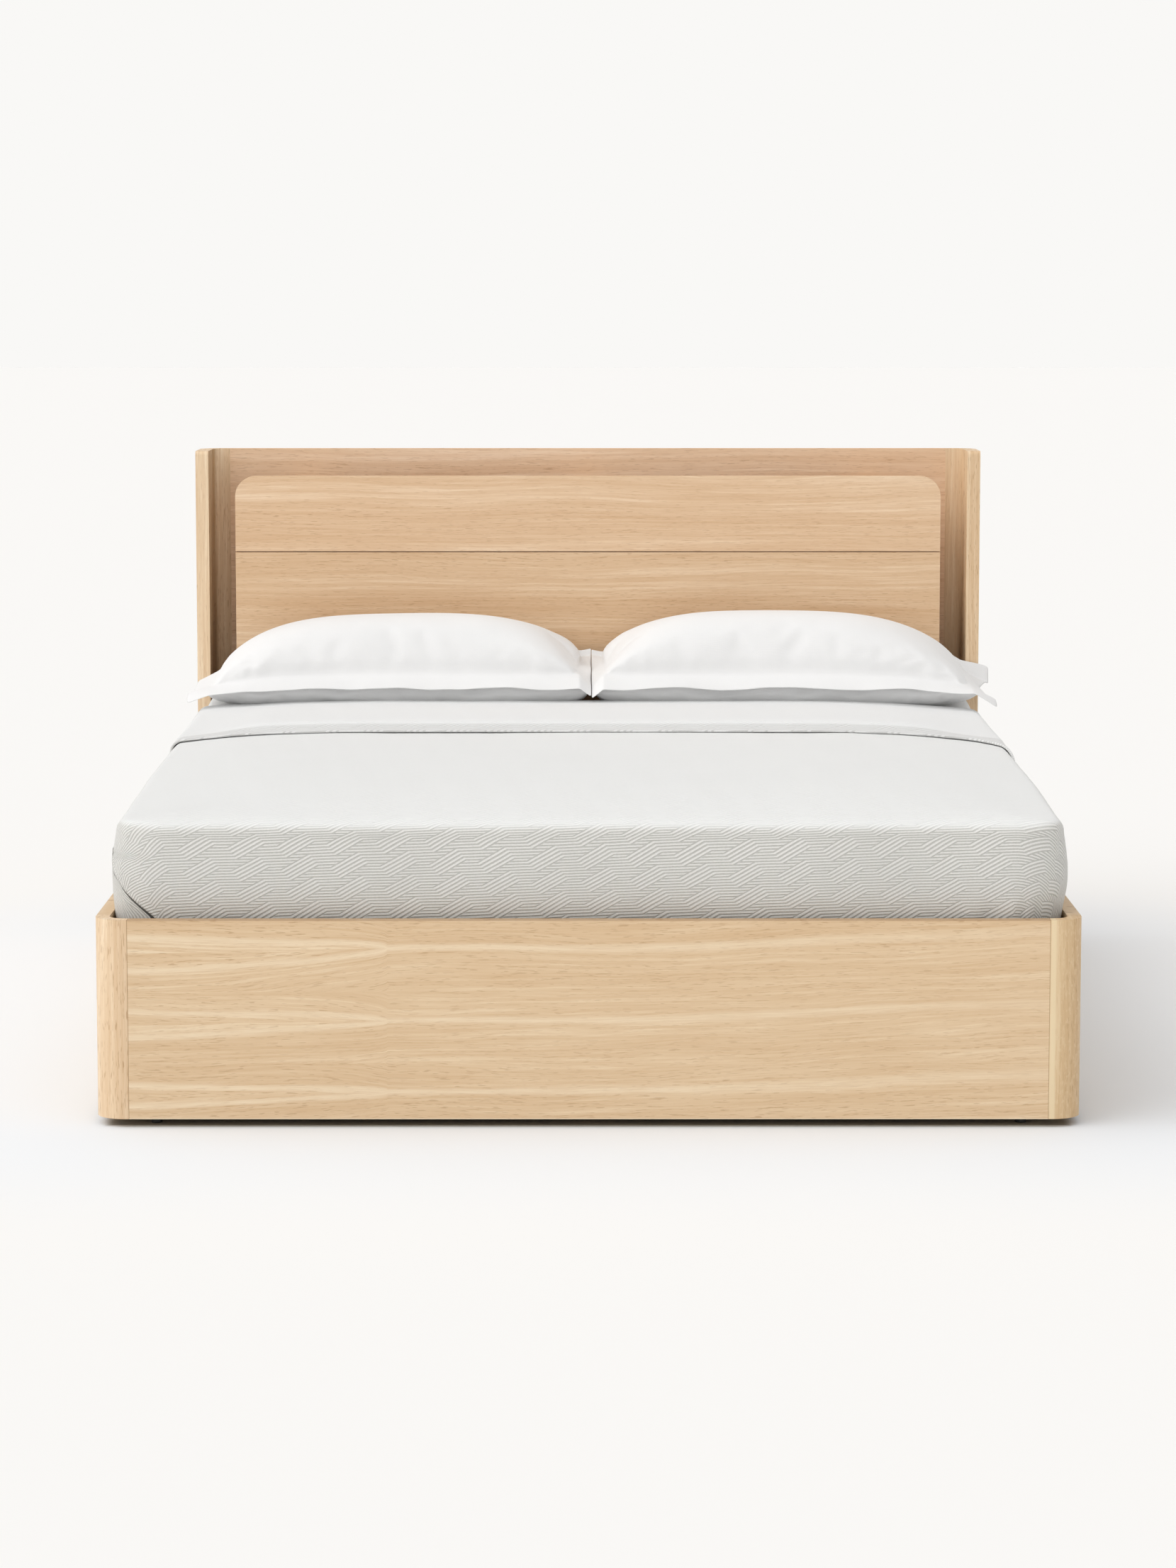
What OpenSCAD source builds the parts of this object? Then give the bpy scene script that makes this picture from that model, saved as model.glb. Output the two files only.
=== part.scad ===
/* [Mattress and bedding] */
// Width of the mattress
mattress_w = 1600; // [1400:20:1800]
// Length of the mattress
mattress_l = 2000; // [1900:20:2100]
// Thickness of the mattress at its edges
mattress_t = 200; // [160:5:240]
// Rise of the mattress from its edges to its middle
mattress_crown = 24; // [10:1:40]
// Rounding of the mattress corners seen from above
mattress_corner_r = 70; // [50:5:120]
// Thickness of the coverlet with its filling
coverlet_t = 9; // [5:1:14]
// Thickness of the folded-back part of the coverlet
turn_down_t = 8; // [5:1:14]
// Distance from the head of the mattress to the fold of the coverlet
fold_back = 290; // [270:5:400]
// Depth of the folded part, from its hem to its fold
turn_down_d = 610; // [300:10:620]
// Depth of a pillow between its two long seams
pillow_d = 300; // [280:5:310]
// Height of a pillow above the mattress
pillow_h = 190; // [140:2:220]
// Width of the flat flange round a pillow
flange_w = 48; // [30:1:60]

/* [Bed frame] */
// Height of the foot panel and side rails
rail_h = 346; // [320:2:420]
// Thickness of the foot panel and side rails
rail_t = 24; // [20:1:28]
// Height of the frame above the floor
floor_gap = 15; // [10:1:25]
// Gap between the mattress and each side rail
side_gap = 26; // [22:1:40]
// Gap between the mattress and the foot panel
foot_gap = 24; // [20:1:40]
// Gap between the mattress and the front edges of the wings
head_gap = 4; // [4:1:30]
// Width of a corner post seen from the foot
post_w = 58; // [56:1:90]
// Length of a corner post along the side rail
post_l = 66; // [56:1:100]
// Outer radius of a corner post and of a wing's back corner
post_r = 52; // [36:1:54]

/* [Headboard] */
// Height of the headboard above the floor
head_h = 1080; // [950:5:1300]
// Depth of the headboard with its wings
head_d = 170; // [150:5:260]
// Thickness of the wings and the back panel
head_t = 28; // [22:1:32]
// Length of the wing's back leg, up to the back panel's seam
wing_leg = 64; // [60:1:100]
// Radius of the wing's top corners
wing_top_r = 9; // [4:1:14]
// Thickness of the front boards
board_t = 28; // [20:1:32]
// Distance from the wing's front edge back to the front boards
board_setback = 16; // [10:1:30]
// Gap between a front board's end and the wing
board_side_gap = 56; // [30:1:90]
// Height of the upper front board
board_upper_h = 163; // [120:1:220]
// Distance from the top of the headboard down to the upper board
board_drop = 55; // [30:1:90]
// Gap between the two front boards
board_split = 2; // [1:0.5:6]
// Radius of the upper board's top corners
board_r = 44; // [20:1:80]
// Width of an upright behind the front boards
upright_w = 60; // [40:5:90]

/* [Storage box] */
// Thickness of the box floor
floor_t = 8; // [6:1:12]
// Width and height of a floor batten
batten = 18; // [14:1:24]
// Width of the centre beam under the box floor
beam_w = 70; // [50:5:120]
// Width of a corner block along the panel
block_w = 70; // [60:2:100]
// Depth of a corner block away from the panel
block_d = 50; // [44:2:70]
// Height of a corner block
block_h = 200; // [120:10:220]
// Diameter of a glide
glide_d = 20; // [14:1:40]
// Depth of the ledge on the foot panel that the platform rests on
ledge_d = 38; // [34:1:44]
// Height of the ledge on the foot panel
ledge_h = 30; // [20:1:50]

/* [Slatted platform] */
// Distance from the top of the side rail down to the mattress base
platform_drop = 31; // [20:1:60]
// Outside size of the square platform tube
tube = 30; // [25:1:40]
// Wall of the platform tube
tube_wall = 1.5; // [1:0.5:3]
// Number of slats in each half of the platform
slat_count = 14; // [10:1:16]
// Width of a slat
slat_w = 68; // [50:2:80]
// Thickness of a slat
slat_t = 8; // [6:1:10]

/* [Lift mechanism] */
// Length of a rear lift arm between its pivots
arm_l = 300; // [260:10:320]
// Slope of a rear lift arm when the bed is shut
arm_rest = 25; // [20:1:28]
// Turn of the rear lift arm from shut to open
lift_max = 60; // [40:1:65]
// Tilt of the platform when the bed is open
tilt_max = 30; // [20:1:34]
// Length of a front lift arm between its pivots
front_arm_l = 420; // [400:10:440]
// Width of a lift arm
arm_w = 26; // [22:1:30]
// Thickness of a lift arm
arm_t = 6; // [4:0.5:6]
// Diameter of a pivot pin
pivot_d = 12; // [8:1:14]
// Distance from the head of the mattress to the rear platform pivot
pivot_back = 483; // [440:5:560]
// Outside diameter of a gas spring cylinder
gas_d = 20; // [16:1:20]
// Diameter of a gas spring rod
gas_rod_d = 8; // [6:1:10]

/* [Hidden] */

oak = "burlywood";
oak_dark = "tan";
steel = "dimgray";
bright = "silver";
black = "black";
linen = "gainsboro";
white = "white";

// Widths, measured from the middle of the bed
inner_x = mattress_w / 2 + side_gap;
outer_x = inner_x + rail_t;
wing_inner_x = outer_x - head_t;
seam_x = outer_x - post_w;
back_seam_x = outer_x - wing_leg;
board_x = wing_inner_x - board_side_gap;

// Lengths, measured from the front face of the foot panel
mattress_y = rail_t + foot_gap;
mattress_end_y = mattress_y + mattress_l;
wing_y = mattress_end_y + head_gap;
board_y = wing_y + board_setback;
board_back_y = board_y + board_t;
bed_l = wing_y + head_d;
back_y = bed_l - head_t;

// Heights above the floor
rail_top = floor_gap + rail_h;
base_z = rail_top - platform_drop;
slat_clear = 0.5;
cap_wall = 2;
cap_h = slat_t + 2 * cap_wall + slat_clear;
cloth_clear = 0.3;
tube_top = base_z - cloth_clear - cap_h;
tube_z = tube_top - tube;
board_top = head_h - board_drop;
split_z = board_top - board_upper_h;
pad_t = 3;
ledge_top = tube_z - pad_t;
floor_z = floor_gap + batten;
floor_top = floor_z + floor_t;
head_rail_top = ledge_top + pad_t;
upright_top = board_top - board_upper_h / 4;

// Sideways places of the lift mechanism, counted inwards from the side rail
plate_t = 3;
plate_gap = 2;
arm_gap = 3;
tube_gap = 5;
pin_play = 0.5;
pin_r = pivot_d / 2;
shoulder_r = pin_r + 4;
head_r = pin_r + 3;
head_len = 2;
pin_clear = 0.08;
rear_arm_x = inner_x - plate_t - plate_gap - arm_t;
bracket_x = rear_arm_x - arm_gap - plate_t;
front_arm_x = bracket_x - arm_gap - arm_t;
gas_x = front_arm_x - arm_gap - gas_d / 2;
tube_x = gas_x - gas_d / 2 - tube_gap;

// Pivots of the lift mechanism, as distance from the foot and height.
// The front arm's fixed pivot lies where the arm meets the platform both shut and open.
function polar(r, a) = [r * cos(a), r * sin(a)];
function turned(p, a) = [p[0] * cos(a) - p[1] * sin(a), p[0] * sin(a) + p[1] * cos(a)];
function slope(p) = atan2(p[1], p[0]);
front_back = 90;
front_down = 15;
pivot_down = 20;
rear_top = [mattress_end_y - pivot_back, tube_top - pivot_down];
rear_base = rear_top - polar(arm_l, arm_rest);
rear_top_open = rear_base + polar(arm_l, arm_rest + lift_max);
front_offset = [-front_back, -front_down];
front_top = rear_top + front_offset;
front_top_open = rear_top_open + turned(front_offset, -tilt_max);
front_chord = front_top_open - front_top;
front_rise = sqrt(front_arm_l * front_arm_l - pow(norm(front_chord) / 2, 2));
front_side = [-front_chord[1], front_chord[0]] / norm(front_chord);
front_base = (front_top + front_top_open) / 2 + front_side * front_rise;
front_rest = slope(front_top - front_base);
front_open = slope(front_top_open - front_base);
gas_reach = 200;
gas_back = 270;
gas_up = 55;
gas_base = [rear_base[0] + gas_back, floor_gap + gas_up];
gas_top = front_base + polar(gas_reach, front_rest);
gas_top_open = front_base + polar(gas_reach, front_open);
gas_len = norm(gas_top - gas_base);
gas_stroke = norm(gas_top_open - gas_base) - gas_len;
gas_slope = slope(gas_top - gas_base);
gas_slope_open = slope(gas_top_open - gas_base);
echo(rear_base = rear_base, rear_top = rear_top, front_base = front_base, front_top = front_top);
echo(front_turn = front_open - front_rest, gas_base = gas_base, gas_slope = gas_slope);
echo(gas_turn = gas_slope_open - gas_slope, gas_len = gas_len, gas_stroke = gas_stroke, bed_l = bed_l);

// Puts a shape that is drawn from the foot panel's face into the bed's own frame
module placed() {
    translate([0, -bed_l / 2, 0]) children();
}

// Side is -1 for left and 1 for right: a right-hand shape is mirrored to the left
module on_side(side) {
    placed() mirror([side < 0 ? 1 : 0, 0, 0]) children();
}

module on_both_sides() {
    for (side = [-1, 1]) on_side(side) children();
}

// A block from its low corner to its high corner
module span(low, high) {
    translate(low) cube(high - low);
}

// Frame

module foot_panel() {
    color(oak) placed() span([-seam_x, 0, floor_gap], [seam_x, rail_t, rail_top]);
}

// Plan of a bent corner: two legs of one thickness round a rounded corner at the origin
module corner_plan(leg_x, leg_y, thick, r) {
    difference() {
        union() {
            translate([-leg_x, 0]) square([leg_x - r, leg_y]);
            translate([-leg_x, r]) square([leg_x, leg_y - r]);
            intersection() {
                translate([-r, r]) circle(r, $fn = 96);
                translate([-r, 0]) square(r);
            }
        }
        translate([-leg_x - 1, thick]) square([leg_x + 1 - r, leg_y]);
        translate([-leg_x - 1, r]) square([leg_x + 1 - thick, leg_y]);
        translate([-r, r]) circle(r - thick, $fn = 96);
    }
}

module foot_post(side) {
    color(oak) on_side(side) translate([outer_x, 0, floor_gap])
        linear_extrude(rail_h) corner_plan(post_w, post_l, rail_t, post_r);
}

module side_rail(side) {
    color(oak) on_side(side) span([inner_x, post_l, floor_gap], [outer_x, wing_y, rail_top]);
}

// Corner blocks stand inside the corners and carry the glides
block_x = inner_x - (post_r - rail_t) - block_w;

module corner_blocks() {
    color(oak_dark) on_both_sides() {
        span([block_x, rail_t, floor_gap], [block_x + block_w, rail_t + block_d, floor_gap + block_h]);
        span([block_x, back_y - block_d, floor_gap], [block_x + block_w, back_y, floor_gap + block_h]);
    }
}

// Steel plates that tie each side rail to its corner post and to its wing, two to a corner.
// The plate at the wing is stepped, because the wing is thicker than the rail.
rail_plate_l = 90;
rail_plate_h = 36;
rail_plate_y = post_r + plate_gap;
wing_plate_l = 70;
plate_low_share = 0.2;
plate_high_share = 0.62;
plate_levels = [floor_gap + plate_low_share * rail_h, floor_gap + plate_high_share * rail_h];
screw_r = 2.5;
screw_head_r = 5;
screw_head_t = 2;
screw_inset = 12;
lap_gap = 1;
wing_lap = board_setback - lap_gap;
rail_screw_y = [rail_plate_y + screw_inset / 2, rail_plate_y + rail_plate_l - screw_inset];
wing_screw_y = [wing_y - wing_plate_l + screw_inset, wing_y + wing_lap / 2];

module rail_plates() {
    color(bright) on_both_sides() for (z = plate_levels) {
        difference() {
            span([inner_x - plate_t, rail_plate_y, z],
                 [inner_x, rail_plate_y + rail_plate_l, z + rail_plate_h]);
            for (y = rail_screw_y) screw_hole([inner_x - plate_t, y, z + rail_plate_h / 2]);
        }
        difference() {
            union() {
                span([wing_inner_x - plate_t, wing_y - wing_plate_l, z],
                     [wing_inner_x, wing_y + wing_lap, z + rail_plate_h]);
                span([wing_inner_x - plate_t, wing_y - wing_plate_l, z],
                     [inner_x, wing_y - lap_gap, z + rail_plate_h]);
            }
            for (y = wing_screw_y) screw_hole([wing_inner_x - plate_t, y, z + rail_plate_h / 2]);
        }
    }
}

// A through hole along +X, long enough for the stepped plate
module screw_hole(at) {
    translate(at - [1, 0, 0]) rotate([0, 90, 0]) cylinder(r = screw_r, h = 4 * plate_t, $fn = 24);
}

// A screw head with its short shank along +X, the head's underside at the origin
module screw(shank) {
    rotate([0, 90, 0]) {
        cylinder(r = screw_r, h = shank, $fn = 24);
        translate([0, 0, -screw_head_t]) cylinder(r = screw_head_r, h = screw_head_t, $fn = 32);
    }
}

module frame_screws() {
    color(bright) on_both_sides() for (z = plate_levels) {
        for (y = rail_screw_y)
            translate([inner_x - plate_t, y, z + rail_plate_h / 2]) screw(plate_t);
        for (y = wing_screw_y)
            translate([wing_inner_x - plate_t, y, z + rail_plate_h / 2]) screw(plate_t);
        translate([wing_inner_x - plate_t, angle_screw_y, z + rail_plate_h / 2]) screw(plate_t);
        translate([angle_screw_x, board_back_y + plate_t, z + rail_plate_h / 2])
            rotate([0, 0, -90]) screw(plate_t);
    }
}

// Glides under the corner blocks
glide_in_x = 21;
glide_in_y = 28;
glide_edge = 1;
glide_x = block_x + glide_in_x;

module glides() {
    color(black) on_both_sides() for (y = [rail_t + glide_in_y, back_y - glide_in_y])
        translate([glide_x, y, 0]) rotate_extrude($fn = 48)
            polygon([
                [0, 0], [glide_d / 2 - glide_edge, 0], [glide_d / 2, glide_edge],
                [glide_d / 2, floor_gap], [0, floor_gap]
            ]);
}

// Ledge on the foot panel that the platform comes down on, with its rubber pads
ledge_x = block_x + block_w;
pad_count = 5;
pad_l = 50;
pad_edge = 1;
rest_lap = 14;
platform_y = rail_t + ledge_d - rest_lap;

module foot_ledge() {
    color(oak_dark) placed()
        span([-ledge_x, rail_t, ledge_top - ledge_h], [ledge_x, rail_t + ledge_d, ledge_top]);
}

module rest_pads() {
    color(black) placed() for (i = [0 : pad_count - 1])
        translate([(i / (pad_count - 1) - 0.5) * 2 * (ledge_x - pad_l) - pad_l / 2, 0, 0])
            span([0, platform_y, ledge_top], [pad_l, rail_t + ledge_d - pad_edge, ledge_top + pad_t]);
}

// Storage box

batten_play = 0.5;

module floor_battens() {
    color(oak_dark) on_both_sides() {
        span([inner_x - batten, rail_plate_y, floor_gap], [inner_x, wing_y, floor_z]);
        span([beam_w / 2, rail_t, floor_gap], [block_x, rail_t + batten, floor_z]);
        span([beam_w / 2, board_y - batten, floor_gap],
             [inner_x - batten - batten_play, board_y, floor_z]);
    }
}

module centre_beam() {
    color(oak_dark) placed() span([-beam_w / 2, rail_t, floor_gap], [beam_w / 2, board_y, floor_z]);
}

beam_feet_count = 3;
beam_foot_share = 0.6;

module beam_feet() {
    color(black) placed() for (i = [1 : beam_feet_count])
        translate([0, rail_t + i * (board_y - rail_t) / (beam_feet_count + 1), 0])
            cylinder(d = beam_w * beam_foot_share, h = floor_gap, $fn = 48);
}

// Each half of the box floor is notched round the corner block
floor_play = 1;

module floor_panel(side) {
    color(oak_dark) on_side(side) difference() {
        span([floor_play / 2, rail_t + floor_play, floor_z],
             [wing_inner_x - floor_play, board_y - floor_play, floor_top]);
        span([block_x - floor_play, 0, floor_z - 1],
             [outer_x, rail_t + block_d + floor_play, floor_top + 1]);
    }
}

// Headboard

module head_rail() {
    color(oak_dark) placed()
        span([-wing_inner_x, board_y, floor_gap], [wing_inner_x, board_back_y, head_rail_top]);
}

// Steel angles behind the head rail that tie it to the wings
angle_leg = 46;
angle_screw_x = wing_inner_x - angle_leg + screw_inset;
angle_screw_y = board_back_y + angle_leg - screw_inset;

module head_angles() {
    color(bright) on_both_sides() for (z = plate_levels)
        difference() {
            union() {
                span([wing_inner_x - plate_t, board_back_y, z],
                     [wing_inner_x, board_back_y + angle_leg, z + rail_plate_h]);
                span([wing_inner_x - angle_leg, board_back_y, z],
                     [wing_inner_x, board_back_y + plate_t, z + rail_plate_h]);
            }
            screw_hole([wing_inner_x - plate_t, angle_screw_y, z + rail_plate_h / 2]);
            translate([angle_screw_x, board_back_y + plate_t + 1, z + rail_plate_h / 2])
                rotate([90, 0, 0]) cylinder(r = screw_r, h = plate_t + 2, $fn = 24);
        }
}

module back_panel() {
    color(oak) placed() span([-back_seam_x, back_y, floor_gap], [back_seam_x, bed_l, head_h]);
}

// Outline of a wing seen from its side, with a rounded front top corner
module wing_side_outline() {
    square([head_d, head_h - floor_gap - wing_top_r]);
    translate([wing_top_r, 0]) square([head_d - wing_top_r, head_h - floor_gap]);
    translate([wing_top_r, head_h - floor_gap - wing_top_r]) circle(wing_top_r, $fn = 48);
}

module wing(side) {
    color(oak) on_side(side) translate([outer_x, wing_y, floor_gap]) intersection() {
        linear_extrude(head_h - floor_gap) translate([0, head_d]) mirror([0, 1])
            corner_plan(wing_leg, head_d, head_t, post_r);
        translate([1, 0, 0]) rotate([90, 0, -90]) mirror([1, 0, 0])
            linear_extrude(wing_leg + 2) wing_side_outline();
    }
}

module board_upper_outline() {
    square([2 * board_x, board_upper_h - board_r]);
    translate([board_r, 0]) square([2 * (board_x - board_r), board_upper_h]);
    for (x = [board_r, 2 * board_x - board_r])
        translate([x, board_upper_h - board_r]) circle(board_r, $fn = 96);
}

module front_board_upper() {
    color(oak) placed() translate([-board_x, board_back_y, split_z])
        rotate([90, 0, 0]) linear_extrude(board_t) board_upper_outline();
}

module front_board_lower() {
    color(oak) placed()
        span([-board_x, board_y, head_rail_top], [board_x, board_back_y, split_z - board_split]);
}

upright_spread = 0.8;

module board_uprights() {
    color(oak_dark) placed() for (i = [-1, 0, 1])
        translate([i * upright_spread * board_x - upright_w / 2, 0, 0])
            span([0, board_back_y, floor_gap], [upright_w, back_y, upright_top]);
}

// Lift mechanism

// A straight link in the plane of the side rail, from one pivot to the other.
// Its bar is a little narrower than its round ends.
link_neck = 2;

module link_outline(from, to, r) {
    bar_r = r - link_neck;
    translate(from) circle(r, $fn = 64);
    translate(to) circle(r, $fn = 64);
    translate(from) rotate(slope(to - from)) translate([0, -bar_r]) square([norm(to - from), 2 * bar_r]);
}

// Stands an outline drawn as distance from the foot and height at a sideways place
module upright_plate(x, thick) {
    translate([x, 0, 0]) rotate([90, 0, 90]) linear_extrude(thick) children();
}

// A disc on a pivot, from one sideways place to another
module disc(at, low_x, high_x, r) {
    translate([low_x, at[0], at[1]]) rotate([0, 90, 0]) cylinder(r = r, h = high_x - low_x, $fn = 64);
}

plate_r = 24;

module base_plate(side) {
    color(steel) on_side(side) upright_plate(inner_x - plate_t, plate_t) {
        link_outline(front_base, rear_base, plate_r);
        link_outline(rear_base, gas_base, plate_r);
    }
}

// Fixed pins: a shoulder on the base plate, the pin through the arm and its head
module base_pin(at, arm_x, arm_thick) {
    disc(at, arm_x + arm_thick + pin_play, inner_x - plate_t, shoulder_r);
    disc(at, arm_x - pin_play, arm_x + arm_thick + pin_play, pin_r);
    disc(at, arm_x - pin_play - head_len, arm_x - pin_play, head_r);
}

gas_eye_w = 10;
gas_eye_r = 12;
gas_eye_x = gas_x - gas_eye_w / 2;

module base_pins() {
    color(bright) on_both_sides() {
        base_pin(rear_base, rear_arm_x, arm_t);
        base_pin(front_base, front_arm_x, arm_t);
        base_pin(gas_base, gas_eye_x, gas_eye_w);
    }
}

module rear_arm(side) {
    color(steel) on_side(side) difference() {
        upright_plate(rear_arm_x, arm_t) link_outline(rear_base, rear_top, arm_w / 2);
        disc(rear_base, rear_arm_x - 1, rear_arm_x + arm_t + 1, pin_r + pin_clear);
        disc(rear_top, rear_arm_x - 1, rear_arm_x + arm_t + 1, pin_r + pin_clear);
    }
}

// The front arm carries a stub that ends just short of the platform bracket
module front_arm(side) {
    color(steel) on_side(side) {
        difference() {
            upright_plate(front_arm_x, arm_t) link_outline(front_base, front_top, arm_w / 2);
            disc(front_base, front_arm_x - 1, front_arm_x + arm_t + 1, pin_r + pin_clear);
        }
        disc(front_top, front_arm_x + arm_t, bracket_x - pin_play, pin_r);
        disc(front_top, front_arm_x - head_len, front_arm_x, head_r);
    }
}

// A gas spring is drawn along +X from its eye and turned onto its slope
module along_gas_spring() {
    translate([gas_x, gas_base[0], gas_base[1]]) rotate([gas_slope, 0, 0]) rotate([0, 0, 90])
        children();
}

gas_wall = 1.5;
gas_end_gap = 38;
gas_guide = 10;
gas_neck = 16;
rod_play = 0.1;
piston_t = 8;

module gas_cylinder(side) {
    barrel = gas_len - gas_end_gap - gas_neck;
    color(black) on_side(side) along_gas_spring() difference() {
        union() {
            rotate([90, 0, 0]) cylinder(r = gas_eye_r, h = gas_eye_w, center = true, $fn = 64);
            rotate([0, 90, 0]) cylinder(r = gas_eye_w / 2, h = gas_neck + 2, $fn = 32);
            translate([gas_neck, 0, 0]) rotate([0, 90, 0]) cylinder(d = gas_d, h = barrel, $fn = 64);
        }
        rotate([90, 0, 0])
            cylinder(r = pin_r + pin_clear, h = gas_eye_w + 2, center = true, $fn = 64);
        translate([gas_neck + gas_guide, 0, 0]) rotate([0, 90, 0])
            cylinder(r = gas_d / 2 - gas_wall, h = barrel - 2 * gas_guide, $fn = 64);
        translate([gas_neck + gas_guide, 0, 0]) rotate([0, 90, 0])
            cylinder(r = gas_rod_d / 2 + rod_play, h = barrel, $fn = 48);
    }
}

// The rod's eye carries a stub that ends just short of the front arm
module gas_rod(side) {
    inside = gas_neck + gas_guide + 4;
    color(bright) on_side(side) along_gas_spring() {
        translate([inside, 0, 0]) rotate([0, 90, 0])
            cylinder(d = gas_rod_d, h = gas_len - inside, $fn = 48);
        translate([inside, 0, 0]) rotate([0, 90, 0])
            cylinder(r = gas_d / 2 - gas_wall - rod_play, h = piston_t, $fn = 48);
        translate([gas_len, 0, 0]) rotate([90, 0, 0])
            cylinder(r = gas_eye_r, h = gas_eye_w, center = true, $fn = 64);
        translate([gas_len, -gas_eye_w / 2, 0]) rotate([90, 0, 0])
            cylinder(r = gas_eye_r / 2, h = front_arm_x - pin_play - gas_x - gas_eye_w / 2, $fn = 48);
    }
}

// The bracket hangs beside the side tube, on a flange welded to the tube's side
bracket_r = 14;
bracket_end = rear_top[0] + bracket_r - link_neck;

module platform_bracket(side) {
    color(steel) on_side(side) {
        upright_plate(bracket_x, plate_t) {
            link_outline(front_top, rear_top, bracket_r);
            translate([front_top[0], front_top[1]])
                square([bracket_end - front_top[0], tube_top - front_top[1]]);
        }
        span([tube_x, front_top[0], tube_top - plate_t],
             [bracket_x + plate_t, bracket_end, tube_top]);
    }
}

module platform_pins() {
    color(bright) on_both_sides() {
        disc(rear_top, bracket_x + plate_t, rear_arm_x - pin_play, shoulder_r);
        disc(rear_top, rear_arm_x - pin_play, rear_arm_x + arm_t + pin_play, pin_r);
        disc(rear_top, rear_arm_x + arm_t + pin_play, rear_arm_x + arm_t + pin_play + head_len, head_r);
    }
}

// Slatted platform

platform_in = 4;
platform_end_y = mattress_end_y - platform_in;

// A hollow square tube between two corners of its outside, along x or along y
module tube_x_way(low, high) {
    difference() {
        span(low, high);
        span(low + [-1, tube_wall, tube_wall], high + [1, -tube_wall, -tube_wall]);
    }
}

module tube_y_way(low, high) {
    difference() {
        span(low, high);
        span(low + [tube_wall, -1, tube_wall], high + [-tube_wall, 1, -tube_wall]);
    }
}

module side_tube(side) {
    color(steel) on_side(side)
        tube_y_way([tube_x - tube, platform_y, tube_z], [tube_x, platform_end_y, tube_top]);
}

module foot_tube() {
    color(steel) placed() tube_x_way([tube - tube_x, platform_y, tube_z],
                                     [tube_x - tube, platform_y + tube, tube_top]);
}

module head_tube() {
    color(steel) placed() tube_x_way([tube - tube_x, platform_end_y - tube, tube_z],
                                     [tube_x - tube, platform_end_y, tube_top]);
}

module centre_tube() {
    color(steel) placed() tube_y_way([-tube / 2, platform_y + tube, tube_z],
                                     [tube / 2, platform_end_y - tube, tube_top]);
}

plug_t = 2;
plug_in = 12;

module tube_plugs() {
    color(black) on_both_sides() for (end = [0, 1]) {
        y = end == 0 ? platform_y - plug_t : platform_end_y;
        inner_y = end == 0 ? platform_y : platform_end_y - plug_in;
        span([tube_x - tube, y, tube_z], [tube_x, y + plug_t, tube_top]);
        span([tube_x - tube + tube_wall, inner_y, tube_z + tube_wall],
             [tube_x - tube_wall, inner_y + plug_in, tube_top - tube_wall]);
    }
}

slat_pitch = (platform_end_y - platform_y - slat_w - 2 * tube) / (slat_count - 1);
slat_in = 26;
slat_in_centre = 16;
slat_z = tube_top + cap_wall + slat_clear / 2;
cap_l = 36;

function slat_y(i) = platform_y + tube + i * slat_pitch;

module slats(side) {
    color(oak_dark) on_side(side) for (i = [0 : slat_count - 1])
        span([cap_l / 2 - slat_in_centre, slat_y(i), slat_z],
             [tube_x - cap_l + slat_in, slat_y(i) + slat_w, slat_z + slat_t]);
}

// A cap holds the end of a slat in its slot, open towards the slat
module slat_cap(x, slot_low, slot_high, y) {
    difference() {
        span([x, y - cap_wall - slat_clear, tube_top],
             [x + cap_l, y + slat_w + cap_wall + slat_clear, tube_top + cap_h]);
        span([slot_low, y - slat_clear, tube_top + cap_wall],
             [slot_high, y + slat_w + slat_clear, tube_top + cap_wall + slat_t + slat_clear]);
    }
}

module slat_caps(side) {
    color(black) on_side(side) for (i = [0 : slat_count - 1])
        slat_cap(tube_x - cap_l, tube_x - cap_l - 1, tube_x - cap_l + slat_in + slat_clear, slat_y(i));
}

module slat_caps_centre() {
    color(black) placed() for (i = [0 : slat_count - 1])
        difference() {
            slat_cap(-cap_l / 2, cap_l / 2 - slat_in_centre - slat_clear, cap_l, slat_y(i));
            span([-cap_l, slat_y(i) - slat_clear, tube_top + cap_wall],
                 [slat_in_centre - cap_l / 2 + slat_clear, slat_y(i) + slat_w + slat_clear,
                  tube_top + cap_wall + slat_t + slat_clear]);
        }
}

// Bedding

// Points round a rectangle with rounded corners, centred, at one height
corner_steps = 5;
function round_ring(w, l, r, z) = [
    for (c = [0 : 3], s = [0 : corner_steps])
        let (a = 90 * c + 90 * s / corner_steps,
             cx = (c == 0 || c == 3 ? 1 : -1) * (w / 2 - r),
             cy = (c < 2 ? 1 : -1) * (l / 2 - r))
        [cx + r * cos(a), cy + r * sin(a), z]
];

// Side view of the mattress from its underside to its crown, as inset and height.
// Grow moves it outwards on every side but the underside.
edge_r = 28;
under_r = 22;
side_bulge = 8;
crown_run = 330;
crown_steps = 6;
round_steps = 4;
function crown_at(inset) =
    mattress_crown * (1 - pow(1 - min(1, max(0, inset - edge_r) / crown_run), 2));
function mattress_side(grow) = concat(
    [for (s = [0 : round_steps])
        let (a = 90 * s / round_steps) [under_r * (1 - sin(a)) - grow, under_r * (1 - cos(a))]],
    [[-side_bulge - grow, mattress_t / 2]],
    [for (s = [0 : round_steps])
        let (a = 90 * s / round_steps, r = edge_r + grow)
        [r * (1 - cos(a)) - grow, mattress_t - edge_r + r * sin(a)]],
    [for (s = [1 : crown_steps])
        let (inset = edge_r + crown_run * s / crown_steps)
        [inset, mattress_t + grow + crown_at(inset)]]
);

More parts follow.
